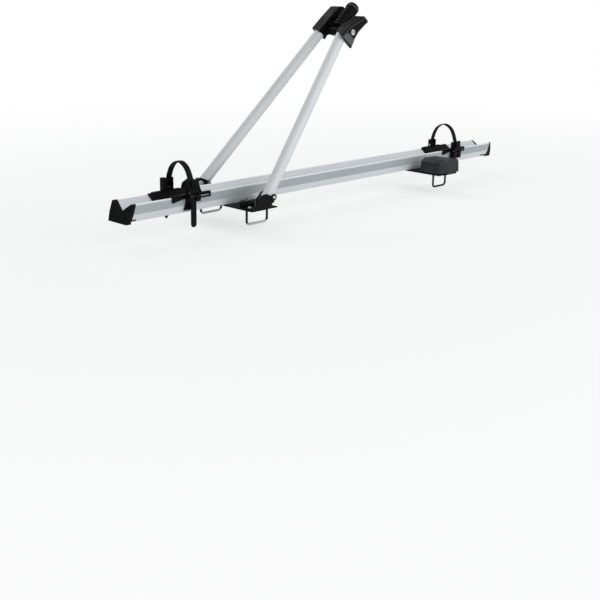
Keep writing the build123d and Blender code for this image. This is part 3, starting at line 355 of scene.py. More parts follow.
class Sheet:
    """One material's nodes while a finish lays them out."""

    def __init__(self, name: str) -> None:
        """Make the material with its shader and its Object coordinates.

        Args:
            name: The material's name.
        """
        self.material = bpy.data.materials.new(name)
        self.material.use_nodes = True
        self.tree = self.material.node_tree
        self.shader = self.tree.nodes["Principled BSDF"]
        self.where = self.tree.nodes.new("ShaderNodeTexCoord").outputs["Object"]

    def link(self, source: bpy.types.NodeSocket, target: bpy.types.NodeSocket) -> None:
        """Join two sockets."""
        self.tree.links.new(source, target)

    def group(self, effect: Effect, **values: object) -> bpy.types.Node:
        """Place a shared effect with its own values.

        Args:
            effect: The effect.
            **values: The values of its inputs; the coordinates are joined to Vector.

        Returns:
            The group node.
        """
        node = self.tree.nodes.new("ShaderNodeGroup")
        node.node_tree = GROUPS.get(effect)
        self.link(self.where, node.inputs["Vector"])
        for label, value in values.items():
            node.inputs[label].default_value = value
        return node

    def stretched(self, way: Way, stretch: float) -> bpy.types.NodeSocket:
        """Draw the Object coordinates out along one way.

        Args:
            way: The way the lines run.
            stretch: How many times longer than wide they are.

        Returns:
            The socket that gives the coordinates.
        """
        node = self.tree.nodes.new("ShaderNodeMapping")
        node.vector_type = "TEXTURE"
        node.inputs["Rotation"].default_value = way.turn()
        node.inputs["Scale"].default_value = (stretch, 1.0, 1.0)
        self.link(self.where, node.inputs["Vector"])
        return node.outputs["Vector"]

    def bump(self, height: bpy.types.NodeSocket, strength: float, deep: float) -> None:
        """Give the shader's normal a bump.

        Args:
            height: The socket that gives the height.
            strength: The bump's strength.
            deep: The bump's depth in metres.
        """
        node = self.tree.nodes.new("ShaderNodeBump")
        node.inputs["Strength"].default_value = strength
        node.inputs["Distance"].default_value = deep
        self.link(height, node.inputs["Height"])
        self.link(node.outputs["Normal"], self.shader.inputs["Normal"])

    def axes(self) -> bpy.types.Node:
        """Split the Object coordinates into X, Y and Z.

        Returns:
            The node that gives them.
        """
        node = self.tree.nodes.new("ShaderNodeSeparateXYZ")
        self.link(self.where, node.inputs["Vector"])
        return node

    def math(self, operation: str, *terms: bpy.types.NodeSocket | float) -> bpy.types.NodeSocket:
        """Reckon with sockets and numbers.

        Args:
            operation: The Math node's operation.
            *terms: One or two sockets or numbers.

        Returns:
            The socket that gives the result.
        """
        node = self.tree.nodes.new("ShaderNodeMath")
        node.operation = operation
        for place, term in enumerate(terms):
            if isinstance(term, bpy.types.NodeSocket):
                self.link(term, node.inputs[place])
            else:
                node.inputs[place].default_value = term
        return node.outputs["Value"]

    def mix(self, mask: bpy.types.NodeSocket, plain: Rgb, other: Rgb) -> bpy.types.NodeSocket:
        """Go from one colour to another with a mask.

        Args:
            mask: The socket that is 0 for the plain colour and 1 for the other.
            plain: The first colour, as it is seen.
            other: The second colour, as it is seen.

        Returns:
            The socket that gives the colour.
        """
        node = self.tree.nodes.new("ShaderNodeMixRGB")
        node.inputs["Color1"].default_value = linear(plain)
        node.inputs["Color2"].default_value = linear(other)
        self.link(mask, node.inputs["Fac"])
        return node.outputs["Color"]

    def roughness(self, mask: bpy.types.NodeSocket, low: float, high: float) -> None:
        """Let the roughness run from low to high with a mask.

        Args:
            mask: The socket that runs from 0 to 1.
            low: The roughness at 0.
            high: The roughness at 1.
        """
        node = self.tree.nodes.new("ShaderNodeMapRange")
        node.inputs["To Min"].default_value = low
        node.inputs["To Max"].default_value = high
        self.link(mask, node.inputs["Value"])
        self.link(node.outputs["Result"], self.shader.inputs["Roughness"])


# Finishes

@dataclass(frozen=True)
class MetalFinish:
    """A drawn, brushed or plated metal."""

    name: str
    colour: Rgb
    second: Rgb
    metallic: float = 0.85
    gloss: tuple[float, float] = (0.28, 0.42)
    lines: float = 420.0
    stretch: float = 60.0
    way: Way = Way.ALONG_X
    amount: float = 0.35
    patch: float = 9.0
    deep: float = 6e-6

    def sheet(self) -> tuple[Sheet, bpy.types.Node]:
        """Lay out the nodes.

        Returns:
            The sheet and the node that gives the colour's patches.
        """
        sheet = Sheet(self.name)
        sheet.shader.inputs["Metallic"].default_value = self.metallic
        patches = sheet.group(
            Effect.PATCHES, Scale=self.patch, Colour=linear(self.colour), Second=linear(self.second),
            Amount=self.amount,
        )
        lines = sheet.group(Effect.LINES, Scale=self.lines)
        sheet.link(sheet.stretched(self.way, self.stretch), lines.inputs["Vector"])
        sheet.link(patches.outputs["Colour"], sheet.shader.inputs["Base Color"])
        sheet.roughness(lines.outputs["Lines"], *self.gloss)
        sheet.bump(lines.outputs["Lines"], strength=0.35, deep=self.deep)
        return sheet, patches

    def material(self) -> bpy.types.Material:
        """The finished material."""
        return self.sheet()[0].material


@dataclass(frozen=True)
class RailFinish(MetalFinish):
    """The rail's metal, whose outer faces carry painted shade in a darker grey and whose lips carry a
    painted highlight in near white.
    """

    # The outer faces' darker grey is painted shade, and the lips' near white is a painted highlight.
    face: Rgb = (0.66, 0.69, 0.7)
    face_second: Rgb = (0.62, 0.65, 0.66)
    lip: Rgb = (0.99, 0.99, 0.99)
    face_low: float = 0.0209
    face_high: float = 0.0408
    face_out: float = 0.0366
    lip_low: float = 0.0437

    def material(self) -> bpy.types.Material:
        """Lay out the material, with painted shade as a darker band on both outer faces and a painted
        highlight on the lips.

        Returns:
            The finished material.
        """
        sheet, patches = self.sheet()
        parts = sheet.axes()
        out, high = sheet.math("ABSOLUTE", parts.outputs["Y"]), parts.outputs["Z"]
        # Painted shade: the outer faces between these heights get the darker grey.
        mask = sheet.math("GREATER_THAN", out, self.face_out)
        mask = sheet.math("MULTIPLY", mask, sheet.math("GREATER_THAN", high, self.face_low))
        mask = sheet.math("MULTIPLY", mask, sheet.math("LESS_THAN", high, self.face_high))
        sheet.link(sheet.mix(mask, self.colour, self.face), patches.inputs["Colour"])
        sheet.link(sheet.mix(mask, self.second, self.face_second), patches.inputs["Second"])
        # Painted highlight: the lips above this height get a near white.
        top = sheet.math("GREATER_THAN", high, self.lip_low)
        lip = sheet.mix(top, self.colour, self.lip)
        sheet.link(patches.outputs["Colour"], lip.node.inputs["Color1"])
        sheet.link(lip, sheet.shader.inputs["Base Color"])
        return sheet.material


@dataclass(frozen=True)
class RodFinish(MetalFinish):
    """A bent rod's metal: dark legs over a bright bar underneath."""

    bar: Rgb = (0.7, 0.7, 0.71)
    bar_top: float = -0.0383

    def material(self) -> bpy.types.Material:
        """Lay out the material, bright below the top of the bar.

        Returns:
            The finished material.
        """
        sheet, patches = self.sheet()
        mask = sheet.math("LESS_THAN", sheet.axes().outputs["Z"], self.bar_top)
        sheet.link(sheet.mix(mask, self.colour, self.bar), patches.inputs["Colour"])
        sheet.link(sheet.mix(mask, self.second, self.bar), patches.inputs["Second"])
        return sheet.material


@dataclass(frozen=True)
class MouldedFinish:
    """A moulded plastic, a rubber or a powder coat."""

    name: str
    colour: Rgb
    second: Rgb
    gloss: tuple[float, float] = (0.42, 0.58)
    grain: float = 900.0
    deep: float = 8e-5
    amount: float = 0.5
    patch: float = 26.0
    specular: float = 0.07

    def material(self) -> bpy.types.Material:
        """Lay out the material.

        Returns:
            The finished material.
        """
        sheet = Sheet(self.name)
        sheet.shader.inputs["Specular IOR Level"].default_value = self.specular
        patches = sheet.group(
            Effect.PATCHES, Scale=self.patch, Colour=linear(self.colour), Second=linear(self.second),
            Amount=self.amount,
        )
        grain = sheet.group(Effect.GRAIN, Scale=self.grain)
        sheet.link(patches.outputs["Colour"], sheet.shader.inputs["Base Color"])
        sheet.roughness(grain.outputs["Gloss"], *self.gloss)
        sheet.bump(grain.outputs["Height"], strength=0.5, deep=self.deep)
        return sheet.material


class Finish(Enum):
    """The carrier's finishes, each with its slot in the record."""

    # The rail's darker outer faces are painted shade, and its near white lips are a painted highlight.
    RAIL = ("rail_aluminium", RailFinish(
        "satin rail aluminium", (0.84, 0.86, 0.87), (0.79, 0.81, 0.825), metallic=0.2,
        gloss=(0.55, 0.68)))
    NEAR_TUBE = ("tube_aluminium", MetalFinish(
        "satin near tube", (0.85, 0.86, 0.865), (0.81, 0.82, 0.83), metallic=0.04, gloss=(0.5, 0.55),
        lines=110.0, way=Way.ALONG_NEAR_ARM, deep=2e-7))
    FAR_TUBE = ("tube_aluminium", MetalFinish(
        "satin far tube", (0.85, 0.86, 0.865), (0.81, 0.82, 0.83), metallic=0.04, gloss=(0.5, 0.55),
        lines=110.0, way=Way.ALONG_FAR_ARM, deep=2e-7))
    PLASTIC = ("black_plastic", MouldedFinish(
        "moulded black plastic", (0.04, 0.041, 0.046), (0.06, 0.062, 0.068)))
    RIM = ("black_plastic", MouldedFinish(
        "smooth rim plastic", (0.05, 0.051, 0.056), (0.065, 0.067, 0.073), gloss=(0.16, 0.26),
        specular=0.5))
    PANEL = ("black_plastic", MouldedFinish(
        "matt panel plastic", (0.36, 0.385, 0.385), (0.27, 0.29, 0.29), gloss=(0.5, 0.65)))
    COVER = ("black_plastic", MouldedFinish(
        "moulded cover plastic", (0.15, 0.165, 0.185), (0.12, 0.13, 0.145), gloss=(0.3, 0.4),
        specular=0.2))
    STEEL = ("black_steel", MouldedFinish(
        "powder coated steel", (0.05, 0.05, 0.055), (0.075, 0.076, 0.082), gloss=(0.34, 0.5),
        grain=1400.0, deep=5e-5))
    ZINC = ("zinc_steel", MetalFinish(
        "zinc plated steel", (0.75, 0.75, 0.74), (0.62, 0.62, 0.6), way=Way.ALONG_Y, stretch=8.0,
        patch=60.0, amount=0.6, gloss=(0.25, 0.45)))
    DARK_ROD = ("zinc_steel", MetalFinish(
        "dark plated rod", (0.2, 0.21, 0.22), (0.12, 0.12, 0.13), metallic=0.8, way=Way.ALONG_Z,
        patch=60.0, amount=0.6, gloss=(0.25, 0.4)))
    FRONT_ROD = ("zinc_steel", RodFinish(
        "front rod", (0.12, 0.12, 0.13), (0.09, 0.09, 0.1), metallic=0.75, way=Way.ALONG_Z,
        patch=60.0, amount=0.6, gloss=(0.3, 0.45)))
    NYLON = ("nylon", MouldedFinish("natural nylon", (0.92, 0.91, 0.89), (0.86, 0.84, 0.8)))
    RUBBER = ("rubber", MouldedFinish(
        "ribbed rubber", (0.06, 0.06, 0.06), (0.09, 0.09, 0.09), gloss=(0.6, 0.8), grain=600.0,
        deep=1.5e-4))
    STRAP = ("strap_rubber", MouldedFinish(
        "moulded strap rubber", (0.055, 0.055, 0.06), (0.085, 0.085, 0.095), gloss=(0.4, 0.6),
        grain=700.0))
    # The handle band's lighter grey is a painted highlight on the black handle.
    BAND = ("pale_plastic", MouldedFinish("grey band plastic", (0.3, 0.31, 0.33), (0.25, 0.255, 0.27)))

    @property
    def slot(self) -> str:
        """The record's slot."""
        return self.value[0]

    def material(self) -> bpy.types.Material:
        """The material, made the first time that it is asked for."""
        spec = self.value[1]
        return bpy.data.materials.get(spec.name) or spec.material()


# Modelling tools

def clear_selection() -> None:
    """Leave edit mode and deselect everything."""
    if bpy.context.object is not None and bpy.context.object.mode != "OBJECT":
        bpy.ops.object.mode_set(mode="OBJECT")
    bpy.ops.object.select_all(action="DESELECT")


def take(piece: bpy.types.Object) -> None:
    """Make one object the only one selected, and the active one."""
    clear_selection()
    piece.select_set(True)
    bpy.context.view_layer.objects.active = piece


def fix_place(piece: bpy.types.Object) -> None:
    """Put a piece's place, turn and scale into its mesh."""
    take(piece)
    bpy.ops.object.transform_apply(location=True, rotation=True, scale=True)


def stand(piece: bpy.types.Object, place: Place, way: Place) -> None:
    """Put a piece at a place with its Z along a way."""
    turn = Vector(way).to_track_quat("Z", "Y").to_matrix().to_4x4()
    piece.matrix_world = Matrix.Translation(place) @ turn


def pick(piece: bpy.types.Object, kind: Pick, test: Test) -> None:
    """Select faces or edges in edit mode by their place and direction.

    Args:
        piece: The object, which is left in edit mode.
        kind: Whether faces or edges are picked.
        test: Takes the middle and the normal of a face, or the middle and the way of an edge.
    """
    take(piece)
    bpy.ops.object.mode_set(mode="EDIT")
    bpy.ops.mesh.select_mode(type=kind.value)
    bpy.ops.mesh.select_all(action="DESELECT")
    bpy.ops.object.mode_set(mode="OBJECT")
    mesh = piece.data
    if kind is Pick.FACES:
        for face in mesh.polygons:
            face.select = test(face.center.copy(), face.normal.copy())
    else:
        for edge in mesh.edges:
            a, b = (mesh.vertices[i].co for i in edge.vertices)
            edge.select = test((a + b) / 2, (b - a).normalized())
    bpy.ops.object.mode_set(mode="EDIT")


def modify(piece: bpy.types.Object, kind: str, **values: object) -> None:
    """Add a modifier, set it and apply it.

    Args:
        piece: The object.
        kind: The modifier's type.
        **values: Its settings.
    """
    take(piece)
    modifier = piece.modifiers.new(kind.title(), kind)
    for name, value in values.items():
        setattr(modifier, name, value)
    bpy.ops.object.modifier_apply(modifier=modifier.name)


def rounded(piece: bpy.types.Object, width: float, segments: int = 2, angle: float = 35.0) -> None:
    """Round the sharp edges of a piece.

    Args:
        piece: The object.
        width: The rounding's width in metres.
        segments: How many faces each rounding has.
        angle: The least angle in degrees of an edge that is rounded.
    """
    modify(piece, "BEVEL", width=width, segments=segments, limit_method="ANGLE",
           angle_limit=math.radians(angle), harden_normals=False)


def settle(piece: bpy.types.Object, name: str, body: str, finish: Finish) -> None:
    """Bring a piece to the origin with its place in its mesh, and give it its body and finish.

    Args:
        piece: The object.
        name: Its name.
        body: The body that it rides on.
        finish: Its finish.
    """
    fix_place(piece)
    bpy.ops.object.shade_smooth_by_angle(angle=SMOOTH_ANGLE)
    piece.name = name
    piece.data.name = name
    piece.data.materials.clear()
    piece.data.materials.append(finish.material())
    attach(piece, body)
    LOG.info("built %s on %s with %d faces", name, body, len(piece.data.polygons))


def block(low: Place, high: Place, soft: float) -> bpy.types.Object:
    """Make a block with rounded edges between two corners.

    Args:
        low: Its lowest corner.
        high: Its highest corner.
        soft: The width of its roundings.

    Returns:
        The object.
    """
    clear_selection()
    a, b = Vector(low), Vector(high)
    bpy.ops.mesh.primitive_cube_add(size=1.0, location=(a + b) / 2)
    piece = bpy.context.object
    piece.scale = b - a
    fix_place(piece)
    rounded(piece, soft)
    return piece


def plate(points: list[Place], thick: Place) -> bpy.types.Object:
    """Make a flat piece with a given outline.

    Args:
        points: The outline's corners, which lie in one plane.
        thick: The way and the length that it is drawn out.

    Returns:
        The object.
    """
    clear_selection()
    bpy.ops.mesh.primitive_circle_add(vertices=len(points), radius=1.0, fill_type="NGON")
    piece = bpy.context.object
    for corner, point in zip(piece.data.vertices, points):
        corner.co = point
    pick(piece, Pick.FACES, lambda spot, way: True)
    bpy.ops.mesh.extrude_region_move(TRANSFORM_OT_translate={"value": thick})
    bpy.ops.mesh.select_all(action="SELECT")
    bpy.ops.mesh.normals_make_consistent(inside=False)
    bpy.ops.object.mode_set(mode="OBJECT")
    return piece


def ring(
    place: Place, way: Place, inner: float, outer: float, thick: float, soft: float
) -> bpy.types.Object:
    """Make a flat ring, bevelled all round.

    Args:
        place: The middle of its seat.
        way: The way its axis points.
        inner: Its bore's radius.
        outer: Its outer radius.
        thick: Its thickness.
        soft: The width of its bevels.

    Returns:
        The object.
    """
    clear_selection()
    bpy.ops.mesh.primitive_circle_add(vertices=RING_SIDES, radius=outer, fill_type="NGON")
    piece = bpy.context.object
    pick(piece, Pick.FACES, lambda spot, way: True)
    bpy.ops.mesh.inset(thickness=outer - inner)
    bpy.ops.mesh.delete(type="FACE")
    bpy.ops.mesh.select_all(action="SELECT")
    bpy.ops.mesh.extrude_region_move(TRANSFORM_OT_translate={"value": (0, 0, thick)})
    bpy.ops.mesh.select_all(action="SELECT")
    bpy.ops.mesh.normals_make_consistent(inside=False)
    bpy.ops.object.mode_set(mode="OBJECT")
    rounded(piece, soft, angle=50.0)
    stand(piece, place, way)
    return piece


def dome(place: Place, way: Place, radius: float, high: float) -> bpy.types.Object:
    """Make a low domed head, such as a rivet's.

    Args:
        place: The middle of its seat.
        way: The way it stands out.
        radius: Its radius.
        high: Its height.

    Returns:
        The object.
    """
    clear_selection()
    bpy.ops.mesh.primitive_cylinder_add(
        vertices=DOME_SIDES, radius=radius, depth=high, location=(0, 0, high / 2)
    )
    piece = bpy.context.object
    pick(piece, Pick.FACES, lambda spot, way: way.z > FACING)
    bpy.ops.mesh.bevel(offset=min(radius, high) * DOME_ROUND, segments=4)
    bpy.ops.object.mode_set(mode="OBJECT")
    stand(piece, place, way)
    return piece


def join(pieces: list[bpy.types.Object]) -> bpy.types.Object:
    """Make several objects one.

    Args:
        pieces: The objects; the first one stays.

    Returns:
        The joined object.
    """
    clear_selection()
    for piece in pieces:
        piece.select_set(True)
    bpy.context.view_layer.objects.active = pieces[0]
    bpy.ops.object.join()
    return bpy.context.object


# Sub-assemblies

@dataclass
class Dresser:
    """Gives the frame's own nodes their finishes."""

    nodes: dict[str, bpy.types.Object]

    def dress(self, finish: Finish, *names: str) -> None:
        """Give nodes a finish.

        Args:
            finish: The finish.
            *names: The nodes' names.
        """
        for name in names:
            node = self.nodes[name]
            node.data.materials.clear()
            node.data.materials.append(finish.material())
            LOG.info("dressed %s", name)


@dataclass
class Rail:
    """The rail with its end caps."""

    dresser: Dresser

    def build(self) -> None:
        """Dress the rail, its caps and its screws."""
        self.dresser.dress(Finish.RAIL, "rail")
        self.dresser.dress(Finish.PLASTIC, "front_end_cap", "rear_end_cap")
        self.dresser.dress(
            Finish.ZINC, "front_rail_screws", "rear_rail_screws", "front_rail_nuts", "rear_rail_nuts"
        )


@dataclass
class BarClamps:
    """The U-bolts with their washers, knobs and nuts."""

    dresser: Dresser
    knob_reach: float = 35 * MM
    knob_out: float = 85.5 * MM
    knob_top: float = 20.9 * MM
    insert_sink: float = 0.4 * MM
    insert_bore: float = 3.3 * MM
    insert_radius: float = 6.4 * MM
    insert_thick: float = 1.4 * MM
    insert_soft: float = 0.35 * MM

    def knob_insert(self, name: str, x: float, y: float) -> None:
        """Set a steel insert in the top of a knob.

        Args:
            name: The knob's name.
            x: The X of its axis.
            y: The Y of its axis.
        """
        insert = ring((x, y, self.knob_top - self.insert_sink), (0, 0, 1), self.insert_bore,
                      self.insert_radius, self.insert_thick, self.insert_soft)
        settle(insert, f"{name}_insert", name, Finish.ZINC)

    def build(self) -> None:
        """Dress the clamps and each knob, and set the knobs' inserts."""
        self.dresser.dress(Finish.FRONT_ROD, "front_u_bolt_near", "front_u_bolt_far")
        self.dresser.dress(Finish.DARK_ROD, "rear_u_bolt")
        self.dresser.dress(
            Finish.ZINC, "front_knob_washers", "rear_knob_washers", "rear_nut_fore", "rear_nut_aft"
        )
        for side in Side:
            for leg, x in (("fore", -self.knob_reach), ("aft", self.knob_reach)):
                name = f"front_knob_{side.tag}_{leg}"
                self.dresser.dress(Finish.PLASTIC, name)
                self.knob_insert(name, x, side.value * self.knob_out)


@dataclass
class Brackets:
    """The base plates, the feet of the arms and the rear cover."""

    dresser: Dresser
    pivot: tuple[float, float] = (3 * MM, 31 * MM)
    eye_seat: float = 141.1 * MM
    eye_bore: float = 5.45 * MM
    eye_radius: float = 8.2 * MM
    eye_thick: float = 2.2 * MM
    eye_soft: float = 0.5 * MM
    # The pale dome in the eye is a painted highlight on the pivot bolt's head.
    plug_seat: float = 143.9 * MM
    plug_radius: float = 3.9 * MM
    plug_high: float = 1.0 * MM

    def pivot_eye(self, side: Side) -> None:
        """Set a dark ring round a pivot bolt's head, and in it a pale dome that is a painted highlight
        on the head.

        Args:
            side: The foot's side.
        """
        x, z = self.pivot
        sign = side.value
        eye = ring((x, sign * self.eye_seat, z), (0, sign, 0), self.eye_bore, self.eye_radius,
                   self.eye_thick, self.eye_soft)
        settle(eye, f"pivot_eye_{side.tag}", "carrier", Finish.STEEL)
        # A pale nylon dome as a painted highlight on the bolt's head.
        highlight_plug = dome((x, sign * self.plug_seat, z), (0, sign, 0), self.plug_radius, self.plug_high)
        settle(highlight_plug, f"pivot_plug_{side.tag}", "carrier", Finish.NYLON)

    def build(self) -> None:
        """Dress the steel and the cover."""
        self.dresser.dress(Finish.STEEL, "front_base_plate", "rear_base_plate", "foot_near", "foot_far")
        self.dresser.dress(Finish.ZINC, "foot_screws", "pivot_bolts", "pivot_nuts", "rear_cover_pin")
        self.dresser.dress(Finish.NYLON, "pivot_bushes")
        self.dresser.dress(Finish.COVER, "rear_cover")
        for side in Side:
            self.pivot_eye(side)


@dataclass
class ClampHead:
    """The arm tubes, the jaws, their pads and the handle."""

    dresser: Dresser
    head: Place = (0.347126, 0.0, 0.397455)
    foot: Place = (0.003, 0.1186, 0.031)
    head_out: float = 40.8 * MM
    tube_radius: float = 14 * MM
    tube_wall: float = 1.5 * MM
    tube_tail: float = 17 * MM
    tube_seat: float = 6 * MM
    tube_sides: int = 72
    tube_cuts: int = 23
    bush_radius: float = 5.05 * MM
    bush_sides: int = 40
    drill_long: float = 60 * MM
    rise: float = math.radians(46.8)
    span: float = 100 * MM
    rim_seat: float = 61.7 * MM
    rim_high: float = 1.3 * MM
    rim_margin: float = 3.2 * MM
    rim_wide: float = 2.4 * MM
    rim_soft: float = 0.4 * MM
    panel_seat: float = 61.8 * MM
    panel_high: float = 1.1 * MM
    panel_edge: float = 1.2 * MM
    panel_deep: float = 0.5 * MM
    panel_soft: float = 0.25 * MM
    rib_start: float = 38 * MM
    rib_pitch: float = 2.95 * MM
    rib_high: float = 0.9 * MM
    rib_edge: float = 0.45 * MM
    rib_cuts: int = 14
    pad_shares: Shares = (
        (0.38, 0.035), (0.6, -0.065), (0.82, -0.155), (0.82, -0.215), (0.57, -0.185), (0.38, -0.165),
    )
    near_shares: Shares = (
        (-0.087, -0.366), (-0.135, 0.19), (0.25, 0.1), (0.38, 0.065), (0.63, -0.055), (0.875, -0.158),
        (0.895, -0.397), (0.7, -0.342), (0.438, -0.285), (0.22, -0.293),
    )
    far_shares: Shares = (
        (0.42, -0.24), (0.42, 0.11), (0.57, 0.085), (1.02, 0.0), (1.14, -0.12), (1.13, -0.3),
        (1.0, -0.4), (0.75, -0.4), (0.52, -0.32),
    )
    panel_shares: Shares = (
        (-0.035, -0.29), (-0.07, 0.1), (0.07, 0.07), (0.14, 0.0), (0.145, -0.19), (0.17, -0.255),
    )

    def at(self, along: float, up: float, y: float) -> Place:
        """A point of the head: along the arms, up from them and at this Y."""
        cos, sin = math.cos(self.rise), math.sin(self.rise)
        return (self.head[0] + along * cos - up * sin, y, self.head[2] + along * sin + up * cos)

    def outline(self, shares: Shares, y: float) -> list[Place]:
        """An outline's points from its shares of the head's span."""
        return [self.at(a * self.span, b * self.span, y) for a, b in shares]

    def arm_tube(self, side: Side, finish: Finish) -> None:
        """Draw one arm tube with its bore and the hole for its bush.

        Args:
            side: The tube's side.
            finish: Its finish, whose lines run along it.
        """
        foot = Vector((self.foot[0], side.value * self.foot[1], self.foot[2]))
        top = Vector((self.head[0], side.value * self.head_out, self.head[2]))
        way = (top - foot).normalized()
        low, high = foot - way * self.tube_tail, top + way * self.tube_seat
        clear_selection()
        bpy.ops.mesh.primitive_cylinder_add(
            vertices=self.tube_sides, radius=self.tube_radius, depth=(high - low).length,
            end_fill_type="NOTHING",
        )
        tube = bpy.context.object
        pick(tube, Pick.EDGES, lambda spot, way: abs(way.z) > FACING)
        bpy.ops.mesh.subdivide(number_cuts=self.tube_cuts)
        bpy.ops.object.mode_set(mode="OBJECT")
        modify(tube, "SOLIDIFY", thickness=self.tube_wall, offset=-1.0)
        stand(tube, (low + high) / 2, way)
        fix_place(tube)
        bpy.ops.mesh.primitive_cylinder_add(
            vertices=self.bush_sides, radius=self.bush_radius, depth=self.drill_long, location=foot,
            rotation=(math.pi / 2, 0, 0),
        )
        drill = bpy.context.object
        modify(tube, "BOOLEAN", object=drill, operation="DIFFERENCE", solver="EXACT")
        bpy.data.objects.remove(drill)
        settle(tube, f"satin_tube_{side.tag}", "arm", finish)
        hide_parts(f"arm_tube_{side.tag}")

    def jaw_rim(self, side: Side, shares: Shares) -> None:
        """Raise a rim round the outer face of a jaw.

        Args:
            side: The jaw's side.
            shares: The jaw's outline.
        """
        sign = side.value
        rim = plate(self.outline(shares, sign * self.rim_seat), (0, sign * self.rim_high, 0))
        pick(rim, Pick.FACES, lambda spot, way: way.y * sign > FACING)
        bpy.ops.mesh.inset(thickness=self.rim_margin)
        bpy.ops.mesh.select_all(action="INVERT")
        bpy.ops.mesh.delete(type="FACE")
        bpy.ops.mesh.select_all(action="SELECT")
        bpy.ops.mesh.inset(thickness=self.rim_wide)
        bpy.ops.mesh.delete(type="FACE")
        bpy.ops.object.mode_set(mode="OBJECT")
        modify(rim, "SOLIDIFY", thickness=self.rim_high, offset=-1.0)
        rounded(rim, self.rim_soft)
        settle(rim, f"jaw_rim_{side.tag}", "arm", Finish.RIM)

    def jaw_panel(self) -> None:
        """Set a lighter panel beside the nut in the near jaw's outer face."""
        panel = plate(self.outline(self.panel_shares, -self.panel_seat), (0, -self.panel_high, 0))
        pick(panel, Pick.FACES, lambda spot, way: way.y < -FACING)
        bpy.ops.mesh.inset(thickness=self.panel_edge, depth=-self.panel_deep)
        bpy.ops.object.mode_set(mode="OBJECT")
        rounded(panel, self.panel_soft, segments=1)
        settle(panel, "jaw_panel_near", "arm", Finish.PANEL)

    def pad_face(self, side: Side) -> None:
        """Make the ribbed rubber face of a pad.

        Args:
            side: The pad's side.
        """
        low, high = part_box(f"pad_rubber_{side.tag}")
        back, face = (low.y, high.y) if side is Side.NEAR else (high.y, low.y)
        root = face + side.value * self.rib_high
        piece = plate(self.outline(self.pad_shares, back), (0, root - back, 0))
        normal = Vector((math.cos(self.rise), 0, math.sin(self.rise)))
        start = Vector(self.at(self.rib_start, 0, 0))

        def on_rib(spot: Vector) -> bool:
            """Tell whether a spot of the pad lies on a rib."""
            return int((spot - start).dot(normal) / self.rib_pitch) % 2 == 0

        for step in range(1, self.rib_cuts + 1):
            pick(piece, Pick.FACES, lambda spot, way: True)
            bpy.ops.mesh.bisect(plane_co=start + normal * step * self.rib_pitch, plane_no=normal)
        pick(piece, Pick.FACES, lambda spot, way: way.y * side.value < -FACING and on_rib(spot))
        bpy.ops.mesh.inset(thickness=self.rib_edge, depth=self.rib_high, use_individual=True)
        bpy.ops.object.mode_set(mode="OBJECT")
        settle(piece, f"ribbed_rubber_{side.tag}", f"pad_{side.tag}", Finish.RUBBER)
        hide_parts(f"pad_rubber_{side.tag}")

    def build(self) -> None:
        """Dress the head and build its tubes, pad faces, panel and rims."""
        self.arm_tube(Side.NEAR, Finish.NEAR_TUBE)
        self.arm_tube(Side.FAR, Finish.FAR_TUBE)
        self.dresser.dress(
            Finish.PLASTIC, "jaw_near", "jaw_far", "spindle_spacers", "clamp_pad_near", "clamp_pad_far",
            "clamp_handle",
        )
        self.dresser.dress(Finish.ZINC, "head_spindle", "barrel_nuts")
        # The handle band's lighter grey is a painted highlight.
        self.dresser.dress(Finish.BAND, "handle_band")
        for side in Side:
            self.pad_face(side)
        self.jaw_panel()
        self.jaw_rim(Side.NEAR, self.near_shares)
        self.jaw_rim(Side.FAR, self.far_shares)


